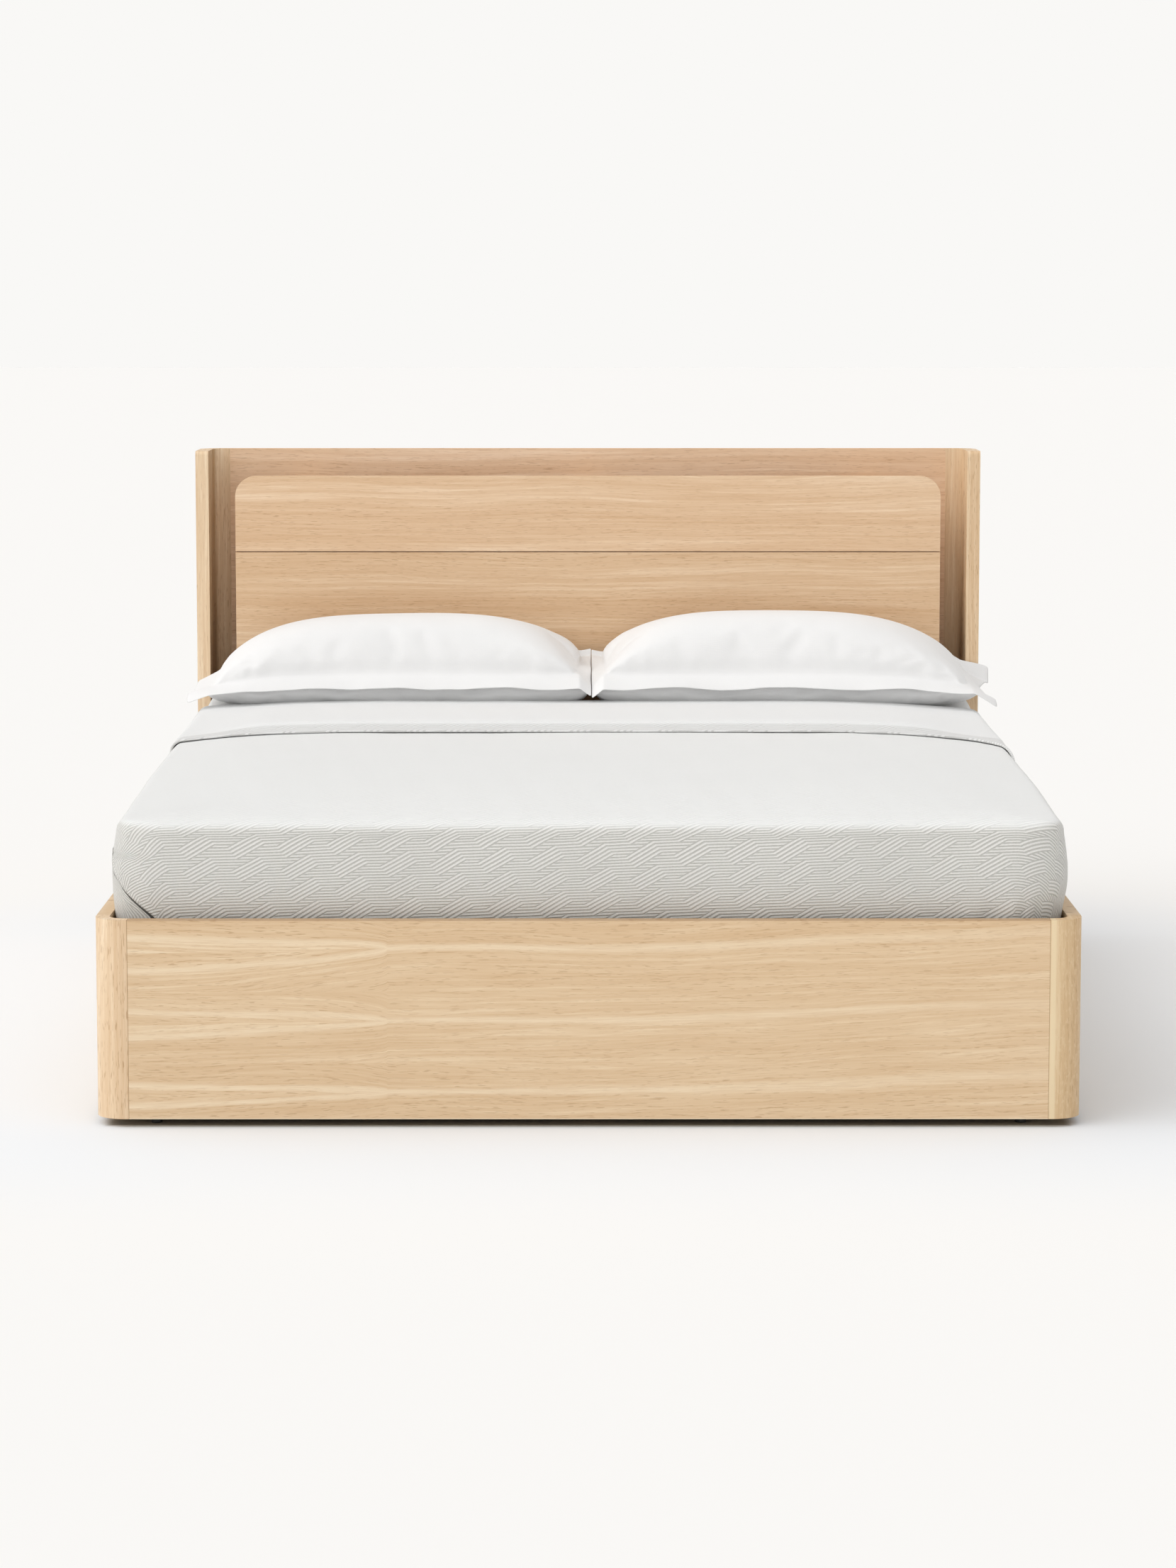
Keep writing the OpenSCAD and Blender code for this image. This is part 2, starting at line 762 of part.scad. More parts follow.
// A closed body from rings of points, one above the other, capped at both ends
module ring_stack(rings) {
    n = len(rings[0]);
    last = (len(rings) - 1) * n;
    polyhedron(
        points = [for (ring = rings) each ring],
        faces = concat(
            [[for (i = [0 : n - 1]) i]],
            [for (k = [0 : len(rings) - 2], i = [0 : n - 1])
                let (j = (i + 1) % n) each [
                    [k * n + i, (k + 1) * n + i, (k + 1) * n + j],
                    [k * n + i, (k + 1) * n + j, k * n + j]
                ]],
            [[for (i = [n - 1 : -1 : 0]) last + i]]
        ),
        convexity = 4
    );
}

module mattress_form(grow) {
    translate([0, mattress_y + mattress_l / 2, base_z]) ring_stack([
        for (p = mattress_side(grow))
            round_ring(mattress_w - 2 * p[0], mattress_l - 2 * p[0], max(mattress_corner_r - p[0], 4), p[1])
    ]);
}

module mattress() {
    color(white) placed() mattress_form(0);
}

fold_y = mattress_end_y - fold_back;
far = 3000;
tuck_gap = 2;

// The coverlet lies over the foot and sides and stops at its fold near the pillows
module coverlet() {
    color(linen) placed() intersection() {
        difference() {
            mattress_form(coverlet_t);
            mattress_form(cloth_clear);
        }
        span([-far, 0, base_z + tuck_gap], [far, fold_y, far]);
    }
}

module turn_down() {
    inner = coverlet_t + cloth_clear;
    color(linen) placed() intersection() {
        difference() {
            mattress_form(inner + turn_down_t);
            mattress_form(inner);
        }
        span([-far, fold_y - turn_down_d, base_z + tuck_gap], [far, fold_y, far]);
    }
}

// Pillow with a flat flange. Places run from -1 to 1 between the seams, and on over the flange.
pillow_gap = 2;
pillow_edge_gap = 2;
pillow_w = outer_x - pillow_edge_gap - pillow_gap / 2;
body_w = pillow_w - 2 * flange_w;
pillow_cols = 20;
pillow_rows = 12;
flange_half = 2;
draw_in_x = 0.05;
draw_in_y = 0.07;
front_seam_z = 71;
front_tip_drop = 26;
back_seam_z = 83;
back_tip_rise = 34;
inner_tip_drop = 16;
outer_tip_drop = 26;
outer_back_drop = 42;
back_lean = 0.1;
pillow_head_gap = 5;
pillow_back_y = wing_y - pillow_head_gap;
swell_x = [2.6, 0.55];
swell_y = [2.2, 0.5];
under_swell = 1.25;

function spread(n) = [for (i = [0 : n]) -cos(180 * i / n)];
function bend_in(t) = 1 - min(t * t, 1);
function swell(t, p) = abs(t) >= 1 ? 0 : pow(1 - pow(abs(t), p[0]), p[1]);
function past(t) = max(abs(t) - 1, 0);

function pillow_point(u, v, top) =
    let (ub = max(-1, min(1, u)), vb = max(-1, min(1, v)),
         x = ub * body_w / 2 * (1 - draw_in_x * bend_in(vb)) + sign(u) * past(u) * flange_w,
         back = v > 1 ? back_lean : 1,
         y = vb * pillow_d / 2 * (1 - draw_in_y * bend_in(ub)) + sign(v) * past(v) * flange_w * back,
         seam = front_seam_z + (back_seam_z - front_seam_z) * (vb + 1) / 2
             - (v < -1 ? front_tip_drop * past(v) : 0)
             + (v > 1 ? back_tip_rise * past(v) : 0)
             - (u < 0 ? inner_tip_drop : outer_tip_drop) * past(u)
             - outer_back_drop * max(0, ub) * max(0, vb) * max(0, vb),
         full = swell(u, swell_x) * swell(v, swell_y),
         up = seam + flange_half + (pillow_h - seam - flange_half) * full,
         down = (seam - flange_half) * (1 - min(1, under_swell * full)))
    [x, y, top ? up : down];

module pillow_form() {
    us = concat([-2], spread(pillow_cols), [2]);
    vs = concat([-2], spread(pillow_rows), [2]);
    nu = len(us);
    nv = len(vs);
    half = nu * nv;
    rim = concat(
        [for (i = [0 : nu - 2]) i * nv],
        [for (j = [0 : nv - 2]) (nu - 1) * nv + j],
        [for (i = [nu - 1 : -1 : 1]) i * nv + nv - 1],
        [for (j = [nv - 1 : -1 : 1]) j]
    );
    polyhedron(
        points = concat(
            [for (u = us, v = vs) pillow_point(u, v, true)],
            [for (u = us, v = vs) pillow_point(u, v, false)]
        ),
        faces = concat(
            [for (i = [0 : nu - 2], j = [0 : nv - 2])
                let (a = i * nv + j, b = a + 1, c = a + nv, d = c + 1)
                each [[a, b, d], [a, d, c], [half + a, half + d, half + b], [half + a, half + c, half + d]]],
            [for (k = [0 : len(rim) - 1])
                let (p = rim[k], q = rim[(k + 1) % len(rim)])
                each [[p, q, half + q], [p, half + q, half + p]]]
        ),
        convexity = 6
    );
}

// A pillow lies on the mattress along the front line of its flat underside
contact_share = 0.5;
pillow_y = pillow_back_y - flange_w * back_lean - pillow_d / 2;
pillow_z = base_z + mattress_t + cloth_clear
    + crown_at(mattress_end_y - pillow_y + contact_share * pillow_d / 2);

module pillow(side) {
    color(white) on_side(side) translate([pillow_gap / 2 + pillow_w / 2, pillow_y, pillow_z])
        pillow_form();
}

foot_panel();
foot_post(-1);  // foot_post_left
foot_post(1);  // foot_post_right
side_rail(-1);  // side_rail_left
side_rail(1);  // side_rail_right
corner_blocks();
rail_plates();
frame_screws();
glides();
foot_ledge();
rest_pads();
floor_battens();
centre_beam();
beam_feet();
floor_panel(-1);  // floor_panel_left
floor_panel(1);  // floor_panel_right
head_rail();
head_angles();
back_panel();
wing(-1);  // wing_left
wing(1);  // wing_right
front_board_upper();
front_board_lower();
board_uprights();
base_plate(-1);  // base_plate_left
base_plate(1);  // base_plate_right
base_pins();
rear_arm(-1);  // rear_arm_left
rear_arm(1);  // rear_arm_right
front_arm(-1);  // front_arm_left
front_arm(1);  // front_arm_right
gas_cylinder(-1);  // gas_cylinder_left
gas_cylinder(1);  // gas_cylinder_right
gas_rod(-1);  // gas_rod_left
gas_rod(1);  // gas_rod_right
platform_bracket(-1);  // platform_bracket_left
platform_bracket(1);  // platform_bracket_right
platform_pins();
side_tube(-1);  // side_tube_left
side_tube(1);  // side_tube_right
head_tube();
foot_tube();
centre_tube();
tube_plugs();
slats(-1);  // slats_left
slats(1);  // slats_right
slat_caps(-1);  // slat_caps_left
slat_caps(1);  // slat_caps_right
slat_caps_centre();
mattress();
coverlet();
turn_down();
pillow(-1);  // pillow_left
pillow(1);  // pillow_right
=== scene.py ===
import math

import bpy
import numpy as np
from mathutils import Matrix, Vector, noise


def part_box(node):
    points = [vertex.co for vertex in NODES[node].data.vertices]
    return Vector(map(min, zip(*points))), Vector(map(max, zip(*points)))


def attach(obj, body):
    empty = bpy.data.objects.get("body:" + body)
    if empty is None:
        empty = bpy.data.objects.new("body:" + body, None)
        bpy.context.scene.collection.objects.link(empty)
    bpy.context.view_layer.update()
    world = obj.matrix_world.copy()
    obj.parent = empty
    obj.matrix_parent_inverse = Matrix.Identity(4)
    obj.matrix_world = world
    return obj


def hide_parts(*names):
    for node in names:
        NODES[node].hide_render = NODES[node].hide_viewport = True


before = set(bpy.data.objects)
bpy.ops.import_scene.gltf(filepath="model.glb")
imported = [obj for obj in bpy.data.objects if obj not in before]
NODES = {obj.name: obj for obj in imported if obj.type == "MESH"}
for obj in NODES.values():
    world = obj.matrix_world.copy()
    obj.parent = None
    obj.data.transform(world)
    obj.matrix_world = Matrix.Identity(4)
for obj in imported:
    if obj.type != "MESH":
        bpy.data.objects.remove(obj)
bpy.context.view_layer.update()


def srgb(r, g, b):
    """A colour as seen on screen, 0 to 255, as the linear one that shaders take."""
    return tuple(c / 255 / 12.92 if c <= 10 else ((c / 255 + 0.055) / 1.055) ** 2.4 for c in (r, g, b)) + (1.0,)


# ---------------------------------------------------------------- camera, light and floor

LENS_MM = 99.23
SENSOR_MM = 36.0
CAMERA_AT = (-0.006, -8.436, 1.460)
CAMERA_DOWN = 6.725
CAMERA_YAW = -0.038

camera_data = bpy.data.cameras.new("camera")
camera_data.lens = LENS_MM
camera_data.sensor_width = SENSOR_MM
camera_data.sensor_fit = "AUTO"
camera_data.clip_end = 200
camera = bpy.data.objects.new("camera", camera_data)
camera.location = CAMERA_AT
camera.rotation_euler = (math.radians(90 - CAMERA_DOWN), 0, math.radians(CAMERA_YAW))
bpy.context.scene.collection.objects.link(camera)
bpy.context.scene.camera = camera
bpy.context.scene.view_settings.view_transform = "Standard"


# Sockets of the Mix node that carry colours
MIX_FACTOR, MIX_A, MIX_B, MIX_COLOUR = 0, 6, 7, 2


class Graph:
    """A node tree that is filled with short calls."""

    def __init__(self, tree):
        self.tree = tree

    def put(self, socket, value):
        if isinstance(value, bpy.types.NodeSocket):
            self.tree.links.new(value, socket)
        else:
            socket.default_value = value

    def add(self, kind, settings=None, **inputs):
        node = self.tree.nodes.new("ShaderNode" + kind)
        for name, value in (settings or {}).items():
            setattr(node, name, value)
        for name, value in inputs.items():
            self.put(node.inputs[name.replace("_", " ")], value)
        return node

    def math(self, operation, *values, clamp=False):
        node = self.add("Math", {"operation": operation, "use_clamp": clamp})
        for socket, value in zip(node.inputs, values):
            self.put(socket, value)
        return node.outputs[0]

    def plus(self, a, b, clamp=False):
        return self.math("ADD", a, b, clamp=clamp)

    def minus(self, a, b):
        return self.math("SUBTRACT", a, b)

    def times(self, a, b):
        return self.math("MULTIPLY", a, b)

    def absolute(self, value):
        return self.math("ABSOLUTE", value)

    def vector(self, operation, *values):
        node = self.add("VectorMath", {"operation": operation})
        for socket, value in zip(node.inputs, values):
            self.put(socket, value)
        return node.outputs["Value" if operation in ("DOT_PRODUCT", "LENGTH") else "Vector"]

    def parts(self, vector):
        return self.add("SeparateXYZ", Vector=vector).outputs

    def joined(self, x, y, z):
        return self.add("CombineXYZ", X=x, Y=y, Z=z).outputs[0]

    def range(self, value, low, high, to_low=0.0, to_high=1.0, smooth=True):
        node = self.add("MapRange", {"interpolation_type": "SMOOTHSTEP" if smooth else "LINEAR", "clamp": True})
        names = ("Value", "From Min", "From Max", "To Min", "To Max")
        for name, number in zip(names, (value, low, high, to_low, to_high)):
            self.put(node.inputs[name], number)
        return node.outputs[0]

    def noise(self, vector, scale, detail, rough, distortion=0.0):
        return self.add("TexNoise", Vector=vector, Scale=scale, Detail=detail, Roughness=rough,
                        Distortion=distortion).outputs["Fac"]

    def stretched(self, x, y, z, scales, detail, rough=0.5):
        """Noise with a scale of its own along each axis."""
        place = [self.times(along, scale) for along, scale in zip((x, y, z), scales)]
        return self.noise(self.joined(*place), 1.0, detail, rough)

    def mix(self, a, b, factor, blend="MIX"):
        node = self.add("Mix", {"data_type": "RGBA", "blend_type": blend})
        for i, value in ((MIX_FACTOR, factor), (MIX_A, a), (MIX_B, b)):
            self.put(node.inputs[i], value)
        return node.outputs[MIX_COLOUR]

    def bump(self, height, distance, strength):
        return self.add("Bump", Height=height, Distance=distance, Strength=strength).outputs[0]


def material(name):
    """The node tree of a new material, with its shader and the place on the piece at hand."""
    mat = bpy.data.materials.new(name)
    mat.use_nodes = True
    graph = Graph(mat.node_tree)
    graph.shader = mat.node_tree.nodes["Principled BSDF"]
    graph.material = mat
    graph.place = graph.add("TexCoord").outputs["Object"]
    return graph


def finish_shader(graph, colour, normal=None, **sockets):
    """Sets or links the shader's sockets, and gives the material."""
    graph.put(graph.shader.inputs["Base Color"], colour)
    if normal is not None:
        graph.put(graph.shader.inputs["Normal"], normal)
    for name, value in sockets.items():
        graph.put(graph.shader.inputs[name.replace("_", " ")], value)
    return graph.material


# The sky is a studio: a bright ceiling, a softbox in front on the left, darker sides, a pale band at floor level.
# Each "at" has the sines of the angles above the floor where a part starts and where it is full
SKY_BAND = srgb(249, 248, 246)
SKY_SIDE = 0.38
SKY_SIDE_AT = (0.12, 0.30)
SKY_CEILING = 1.05
SKY_CEILING_AT = (0.30, 0.75)
SOFTBOX = (-0.75, -0.30, 0.60)
SOFTBOX_POWER = 0.8
# Cosines of the angle from the softbox's middle, at its edge and where it is full
SOFTBOX_EDGE = (0.80, 0.93)
# How much brighter the lamps are on the left and in front
LEFT_GAIN = 0.50
FRONT_GAIN = 0.30
# Green and blue of the lamps, as shares of their red
LAMP_WARMTH = (0.99, 0.98)

world = bpy.data.worlds.new("studio")
bpy.context.scene.world = world
world.use_nodes = True
sky = Graph(world.node_tree)
direction = sky.add("TexCoord").outputs["Generated"]
towards = sky.parts(direction)
above_band = sky.range(towards[2], *SKY_SIDE_AT)
ceiling = sky.range(towards[2], *SKY_CEILING_AT, SKY_SIDE, SKY_CEILING)
facing = sky.vector("DOT_PRODUCT", direction, Vector(SOFTBOX).normalized())
softbox = sky.range(facing, *SOFTBOX_EDGE, 0.0, SOFTBOX_POWER)
evenness = sky.minus(1.0, sky.plus(sky.times(towards[0], LEFT_GAIN), sky.times(towards[1], FRONT_GAIN)))
lamp = sky.times(sky.plus(ceiling, softbox), evenness)
lamps = sky.joined(lamp, *(sky.times(lamp, share) for share in LAMP_WARMTH))
sky.put(world.node_tree.nodes["Background"].inputs["Color"], sky.mix(SKY_BAND, lamps, above_band))

FLOOR_HALF = 60.0
BED_HALF = (0.85, 1.11)
# The wood's warm bounce light is countered by painting the floor cooler and a little darker near the bed, a painted
# contact shade; under the bed a painted shadow darkens it
FLOOR_NEAR_PAINTED_SHADE = (0.855, 0.885, 0.922, 1)
PAINT_FAR = (0.914, 0.909, 0.898, 1)
FLOOR_PAINTED_SHADOW = (0.45, 0.43, 0.40, 1)
NEAR_SHADE_REACH = 0.9
UNDER_EDGE = (-0.03, -0.01)

floor_mesh = bpy.data.meshes.new("floor")
floor_mesh.from_pydata([(-FLOOR_HALF, -FLOOR_HALF, 0), (FLOOR_HALF, -FLOOR_HALF, 0),
                        (FLOOR_HALF, FLOOR_HALF, 0), (-FLOOR_HALF, FLOOR_HALF, 0)], [], [(0, 1, 2, 3)])
floor = bpy.data.objects.new("floor", floor_mesh)
bpy.context.scene.collection.objects.link(floor)
g = material("floor_paint_and_shade")
past = [g.minus(g.absolute(place), half) for place, half in zip(g.parts(g.place), BED_HALF)]
beside = [g.math("MAXIMUM", distance, 0.0) for distance in past]
# Painted shade near the bed, and a painted shadow under it
floor_and_shade = g.mix(FLOOR_NEAR_PAINTED_SHADE, PAINT_FAR, g.range(g.vector("LENGTH", g.joined(*beside, 0.0)), 0.0, NEAR_SHADE_REACH))
floor_and_shade = g.mix(FLOOR_PAINTED_SHADOW, floor_and_shade, g.range(g.math("MAXIMUM", *past), *UNDER_EDGE))
floor_mesh.materials.append(finish_shader(g, floor_and_shade, Roughness=1.0, Specular_IOR_Level=0.0))

# ---------------------------------------------------------------- wood, metal and plastic

# Oak colours, light to dark, as on the foot panel
OAK_PALE = srgb(238, 217, 186)
OAK_MID = srgb(229, 203, 168)
OAK_DEEP = srgb(214, 182, 143)
OAK_PORE = srgb(176, 138, 98)
# Axes along, across and through the grain
GRAIN_ORDER = {"x": (0, 2, 1), "y": (1, 2, 0), "z": (2, 0, 1)}
# Heights between which the painted shade on the wings' inner faces deepens, as the bedding hides them from light
BEDDING_SHADE = (0.80, 0.62)

# The foot panel is faced with leaves of one width, slices of the same log, so each shows the same flame. It lies
# along x from root to tip, and its half width shrinks from leaf to leaf
LEAF = 0.124
FLAME_TIP = -0.346
FLAME_ROOT = -0.780
FLAME_HALF = 0.030
FLAME_LESS = 0.0065
# Its middle below the leaf's top, at root and tip, and how far the lines climb on the right
FLAME_MIDDLE = (0.059, 0.049)
FLAME_CLIMB = -0.030
FLAME_WANDER = 0.0045
# Half width of the pale lines at the panel's left and right, and their paleness at the right
PALE_HALF = (0.0075, 0.0135)
PALE_RIGHT = 0.55


def flame(g, x, z, top):
    """The flame of each leaf: (place across the flame's lines, paleness, inside)."""
    leaf = g.math("DIVIDE", g.minus(top, z), LEAF)
    down = g.times(g.math("FRACT", leaf), LEAF)
    wander = g.stretched(x, z, 0.0, (2.6, 22.0, 1.0), 2.0)
    down = g.plus(down, g.range(wander, 0.25, 0.75, -FLAME_WANDER, FLAME_WANDER, smooth=False))
    middle = g.plus(g.range(x, FLAME_ROOT, FLAME_TIP, *FLAME_MIDDLE), g.range(x, 0.0, 0.85, 0.0, FLAME_CLIMB))
    half = g.minus(FLAME_HALF, g.times(g.math("FLOOR", leaf), FLAME_LESS))
    half = g.times(half, g.math("SQRT", g.range(x, FLAME_ROOT, FLAME_TIP, 1.0, 0.0, smooth=False)))
    off = g.minus(down, middle)
    edge = g.minus(g.absolute(off), half)
    wide = g.range(x, -0.8, 0.6, *PALE_HALF)
    line = g.minus(1.0, g.range(g.math("DIVIDE", g.absolute(edge), wide), 0.1, 1.0))
    pale = g.times(line, g.range(x, 0.0, 0.8, 1.0, PALE_RIGHT))
    inside = g.times(g.range(edge, -0.002, 0.0, 1.0, 0.0), g.range(x, FLAME_TIP - 0.1, FLAME_TIP, 1.0, 0.0))
    across = g.plus(g.times(edge, g.math("SIGN", off)), g.math("FLOOR", leaf))
    return across, pale, inside


def oak(name, grain, at=(0.0, 0.0), tint=(1.0, 1.0, 1.0), bands=0.5, leaves=False, mottle=0.0, lines=(),
        contrast=1.0, inward=0, inner=(1.0, 1.0, 1.0), low=1.0):
    """Oak veneer with its grain along one axis: soft bands, fine streaks and fibres, and short dark pores.
    Lines are (axis, place, half width, colour, strength) of sharp lines such as a painted highlight along an edge,
    and seams.
    A face that looks along x as inward says takes inner as a painted shade, times low where the bedding hides it from
    light."""
    g = material(name)
    xyz = g.parts(g.place)
    order = GRAIN_ORDER[grain]
    along = g.plus(xyz[order[0]], at[0])
    across = g.plus(xyz[order[1]], at[1])
    deep = xyz[order[2]]
    if leaves:
        across, pale, inside = flame(g, xyz[0], xyz[2], rail_high)
    bow = g.stretched(along, across, deep, (2.0, 7.0, 1.0), 1.0)
    across = g.plus(across, g.range(bow, 0.2, 0.8, -0.010, 0.010, smooth=False))

    def grainy(along_scale, across_scale, detail, rough=0.55):
        return g.stretched(along, across, deep, (along_scale, across_scale, 30.0), detail, rough)

    broad = grainy(0.45, 15.0, 2.0, 0.5)
    band = grainy(0.9, 46.0, 2.0, 0.5)
    streak = grainy(3.2, 170.0, 3.0)
    fibre = grainy(14.0, 520.0, 2.0)
    pore = grainy(46.0, 620.0, 1.0, 0.5)
    tone = g.plus(0.42, g.range(broad, 0.32, 0.68, -0.30 * bands, 0.30 * bands))
    tone = g.plus(tone, g.range(band, 0.32, 0.68, -0.30 * bands, 0.26 * bands))
    tone = g.plus(tone, g.range(streak, 0.28, 0.72, -0.26 * contrast, 0.30 * contrast))
    tone = g.plus(tone, g.range(fibre, 0.28, 0.72, -0.15 * contrast, 0.18 * contrast))
    if leaves:
        tone = g.minus(tone, g.times(inside, 0.22))
    base = g.mix(OAK_MID, OAK_DEEP, g.math("MAXIMUM", tone, 0.0, clamp=True))
    base = g.mix(base, OAK_PALE, g.range(tone, 0.30, -0.35, 0.0, 0.9))
    if leaves:
        base = g.mix(base, OAK_PALE, g.times(pale, g.range(fibre, 0.3, 0.7, 0.95, 0.55)))
    depth = g.times(g.range(pore, 0.60, 0.70), g.range(broad, 0.35, 0.65, 0.20 * contrast, 0.50 * contrast))
    if leaves:
        depth = g.times(depth, g.minus(1.0, g.times(pale, 0.7)))
    base = g.mix(base, OAK_PORE, depth)
    if mottle:
        fleck = g.stretched(along, across, deep, (75.0, 210.0, 1.0), 2.0, 0.6)
        base = g.mix(base, OAK_PALE, g.range(fleck, 0.50, 0.66, 0.0, mottle))
    for axis, place, half, colour, strength in lines:
        gap = g.absolute(g.minus(xyz["xyz".index(axis)], place))
        base = g.mix(base, colour, g.range(gap, half * 0.6, half * 1.4, strength, 0.0))
    base = g.mix(base, tuple(tint) + (1.0,), 1.0, "MULTIPLY")
    # Painted shade on the faces that look inward, deeper low down
    if inward:
        looks = g.times(g.parts(g.add("TexCoord").outputs["Normal"])[0], inward)
        shade = g.mix(tuple(inner) + (1.0,), tuple(c * low for c in inner) + (1.0,), g.range(xyz[2], *BEDDING_SHADE))
        base = g.mix(base, shade, g.range(looks, 0.6, 0.95), "MULTIPLY")
    relief = g.minus(g.times(fibre, 0.4), g.times(depth, 0.8))
    rough = g.range(streak, 0.3, 0.7, 0.44, 0.56)
    return finish_shader(g, base, g.bump(relief, 0.0003, 0.5), Roughness=rough, Specular_IOR_Level=0.35)


def plain_wood(name, grain, light, dark, lines=260.0, rough=0.62, plies=0.0):
    """Inner wood such as spruce, birch or board: fine lines along the grain and soft clouds."""
    g = material(name)
    xyz = g.parts(g.place)
    place = [xyz[i] for i in GRAIN_ORDER[grain]]
    line = g.stretched(*place, (6.0, lines, lines), 3.0, 0.6)
    cloud = g.stretched(*place, (2.0, 18.0, 18.0), 2.0)
    tone = g.plus(g.range(line, 0.32, 0.68, 0.0, 0.6), g.range(cloud, 0.3, 0.7, 0.0, 0.4), clamp=True)
    base = g.mix(light, dark, tone)
    if plies:
        ply = g.math("PINGPONG", xyz[2], plies)
        base = g.mix(base, dark, g.range(ply, plies * 0.35, plies * 0.65, 0.0, 0.5))
    return finish_shader(g, base, g.bump(line, 0.0003, 0.5), Roughness=rough, Specular_IOR_Level=0.3)


def metal(name, colour, worn, rough, metallic):
    """Steel, plated or powder coated, with a fine texture and faint wear."""
    g = material(name)
    grit = g.noise(g.place, 900.0, 3.0, 0.6)
    wear = g.noise(g.place, 34.0, 4.0, 0.65)
    base = g.mix(colour, worn, g.range(wear, 0.52, 0.74, 0.0, 0.7))
    shade = g.range(g.noise(g.place, 120.0, 3.0, 0.6), 0.35, 0.65, rough - 0.06, rough + 0.10)
    return finish_shader(g, base, g.bump(grit, 0.00012, 0.5), Roughness=shade, Metallic=metallic)


def moulded(name, colour, worn, rough, grain=700.0):
    """Black plastic or rubber with a fine moulded grain."""
    g = material(name)
    grit = g.noise(g.place, grain, 3.0, 0.6)
    dust = g.noise(g.place, 18.0, 4.0, 0.6)
    base = g.mix(colour, worn, g.range(dust, 0.48, 0.76, 0.0, 0.8))
    shade = g.range(grit, 0.3, 0.7, rough - 0.05, rough + 0.08)
    return finish_shader(g, base, g.bump(grit, 0.0002, 0.6), Roughness=shade)


def dress(mat, *nodes):
    for name in nodes:
        for place in NODES[name].material_slots:
            place.material = mat


(foot_left, _, rail_low), (foot_right, _, rail_high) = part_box("foot_panel")
EDGE_PAINTED_HIGHLIGHT = srgb(246, 230, 200)
SEAM_DARK = srgb(150, 112, 76)
SAPWOOD = srgb(243, 226, 196)
# A painted highlight along the panel's lower edge, and dark seams at its top and ends
panel_lines = (("z", rail_low, 0.0014, EDGE_PAINTED_HIGHLIGHT, 0.8), ("z", rail_high, 0.0010, SEAM_DARK, 0.45),
               ("x", foot_left, 0.0009, SEAM_DARK, 0.8), ("x", foot_right, 0.0009, SEAM_DARK, 0.7))
dress(oak("oak_foot_panel", "x", leaves=True, lines=panel_lines, bands=0.30), "foot_panel")
dress(oak("oak_rail_left", "y", (0.9, 0.31)), "side_rail_left")
dress(oak("oak_rail_right", "y", (3.7, 0.73)), "side_rail_right")
dress(oak("oak_back_panel", "x", (5.2, 0.17), (1.15, 1.13, 1.22), 0.6), "back_panel")
dress(oak("oak_board_upper", "x", (7.9, 0.45), (1.04, 0.99, 1.00), 0.6), "front_board_upper")
dress(oak("oak_board_lower", "x", (9.3, 1.13), (1.00, 0.95, 0.94), 0.6), "front_board_lower")
dress(oak("oak_post_left", "z", (0.4, 0.35), (1.06, 1.08, 1.13), 0.5, contrast=1.3), "foot_post_left")
dress(oak("oak_post_right", "z", (2.4, 1.9), (0.93, 0.89, 0.80), 0.5, mottle=0.4, contrast=0.9,
          lines=(("x", foot_right + 0.0055, 0.0048, SAPWOOD, 0.85),)), "foot_post_right")
# The wings' inner faces get painted shade: inner is its tint and low its extra depth near the bedding
dress(oak("oak_wing_left", "z", (1.4, 4.3), (1.08, 1.10, 1.15), 0.6, contrast=1.2, inward=1,
          inner=(0.70, 0.64, 0.56), low=0.75), "wing_left")
dress(oak("oak_wing_right", "z", (6.4, 3.2), (1.04, 1.04, 1.06), 0.6, contrast=1.2, inward=-1,
          inner=(0.96, 0.93, 0.88), low=0.62), "wing_right")

SPRUCE = (srgb(226, 200, 158), srgb(196, 160, 112))
BIRCH = (srgb(232, 212, 176), srgb(204, 174, 128))
dress(plain_wood("spruce_along_x", "x", *SPRUCE), "foot_ledge", "head_rail")
dress(plain_wood("spruce_along_y", "y", *SPRUCE), "floor_battens", "centre_beam")
dress(plain_wood("spruce_along_z", "z", *SPRUCE), "corner_blocks", "board_uprights")
dress(plain_wood("floor_veneer", "y", srgb(222, 204, 178), srgb(205, 184, 154), 90.0, 0.55), "floor_panel_left",
      "floor_panel_right")
dress(plain_wood("birch_slats", "x", *BIRCH, 300.0, 0.45, 0.0016), "slats_left", "slats_right")
dress(metal("zinc_plating", srgb(196, 198, 200), srgb(160, 158, 150), 0.34, 1.0), "rail_plates", "frame_screws",
      "head_angles", "base_pins", "platform_pins")
dress(metal("black_coating", srgb(34, 34, 36), srgb(58, 57, 56), 0.46, 0.0), *(
    n for n in NODES if n.startswith(("base_plate", "rear_arm", "front_arm", "gas_cylinder", "platform_bracket"))
    or n.endswith("_tube") or n.startswith("side_tube")))
dress(metal("rod_steel", srgb(205, 206, 208), srgb(176, 176, 178), 0.16, 1.0), "gas_rod_left", "gas_rod_right")
dress(moulded("black_plastic", srgb(28, 28, 29), srgb(46, 45, 44), 0.42), "glides", "beam_feet", "tube_plugs",
      "slat_caps_left", "slat_caps_right", "slat_caps_centre")
dress(moulded("pad_rubber", srgb(24, 24, 24), srgb(52, 50, 48), 0.8, 400.0), "rest_pads")

# ---------------------------------------------------------------- bedding

# Mattress, as the CAD model has it: the skin of every cloth is measured outwards from it
SIDE_X = 0.800
FOOT_Y = -1.063
HEAD_Y = 0.937
BASE_Z = 0.330
EDGE_Z = 0.530
EDGE_R = 0.014
UNDER_R = 0.022
PLAN_R = 0.070
BULGE = 0.008
CROWN = 0.024
CROWN_RUN = 0.330
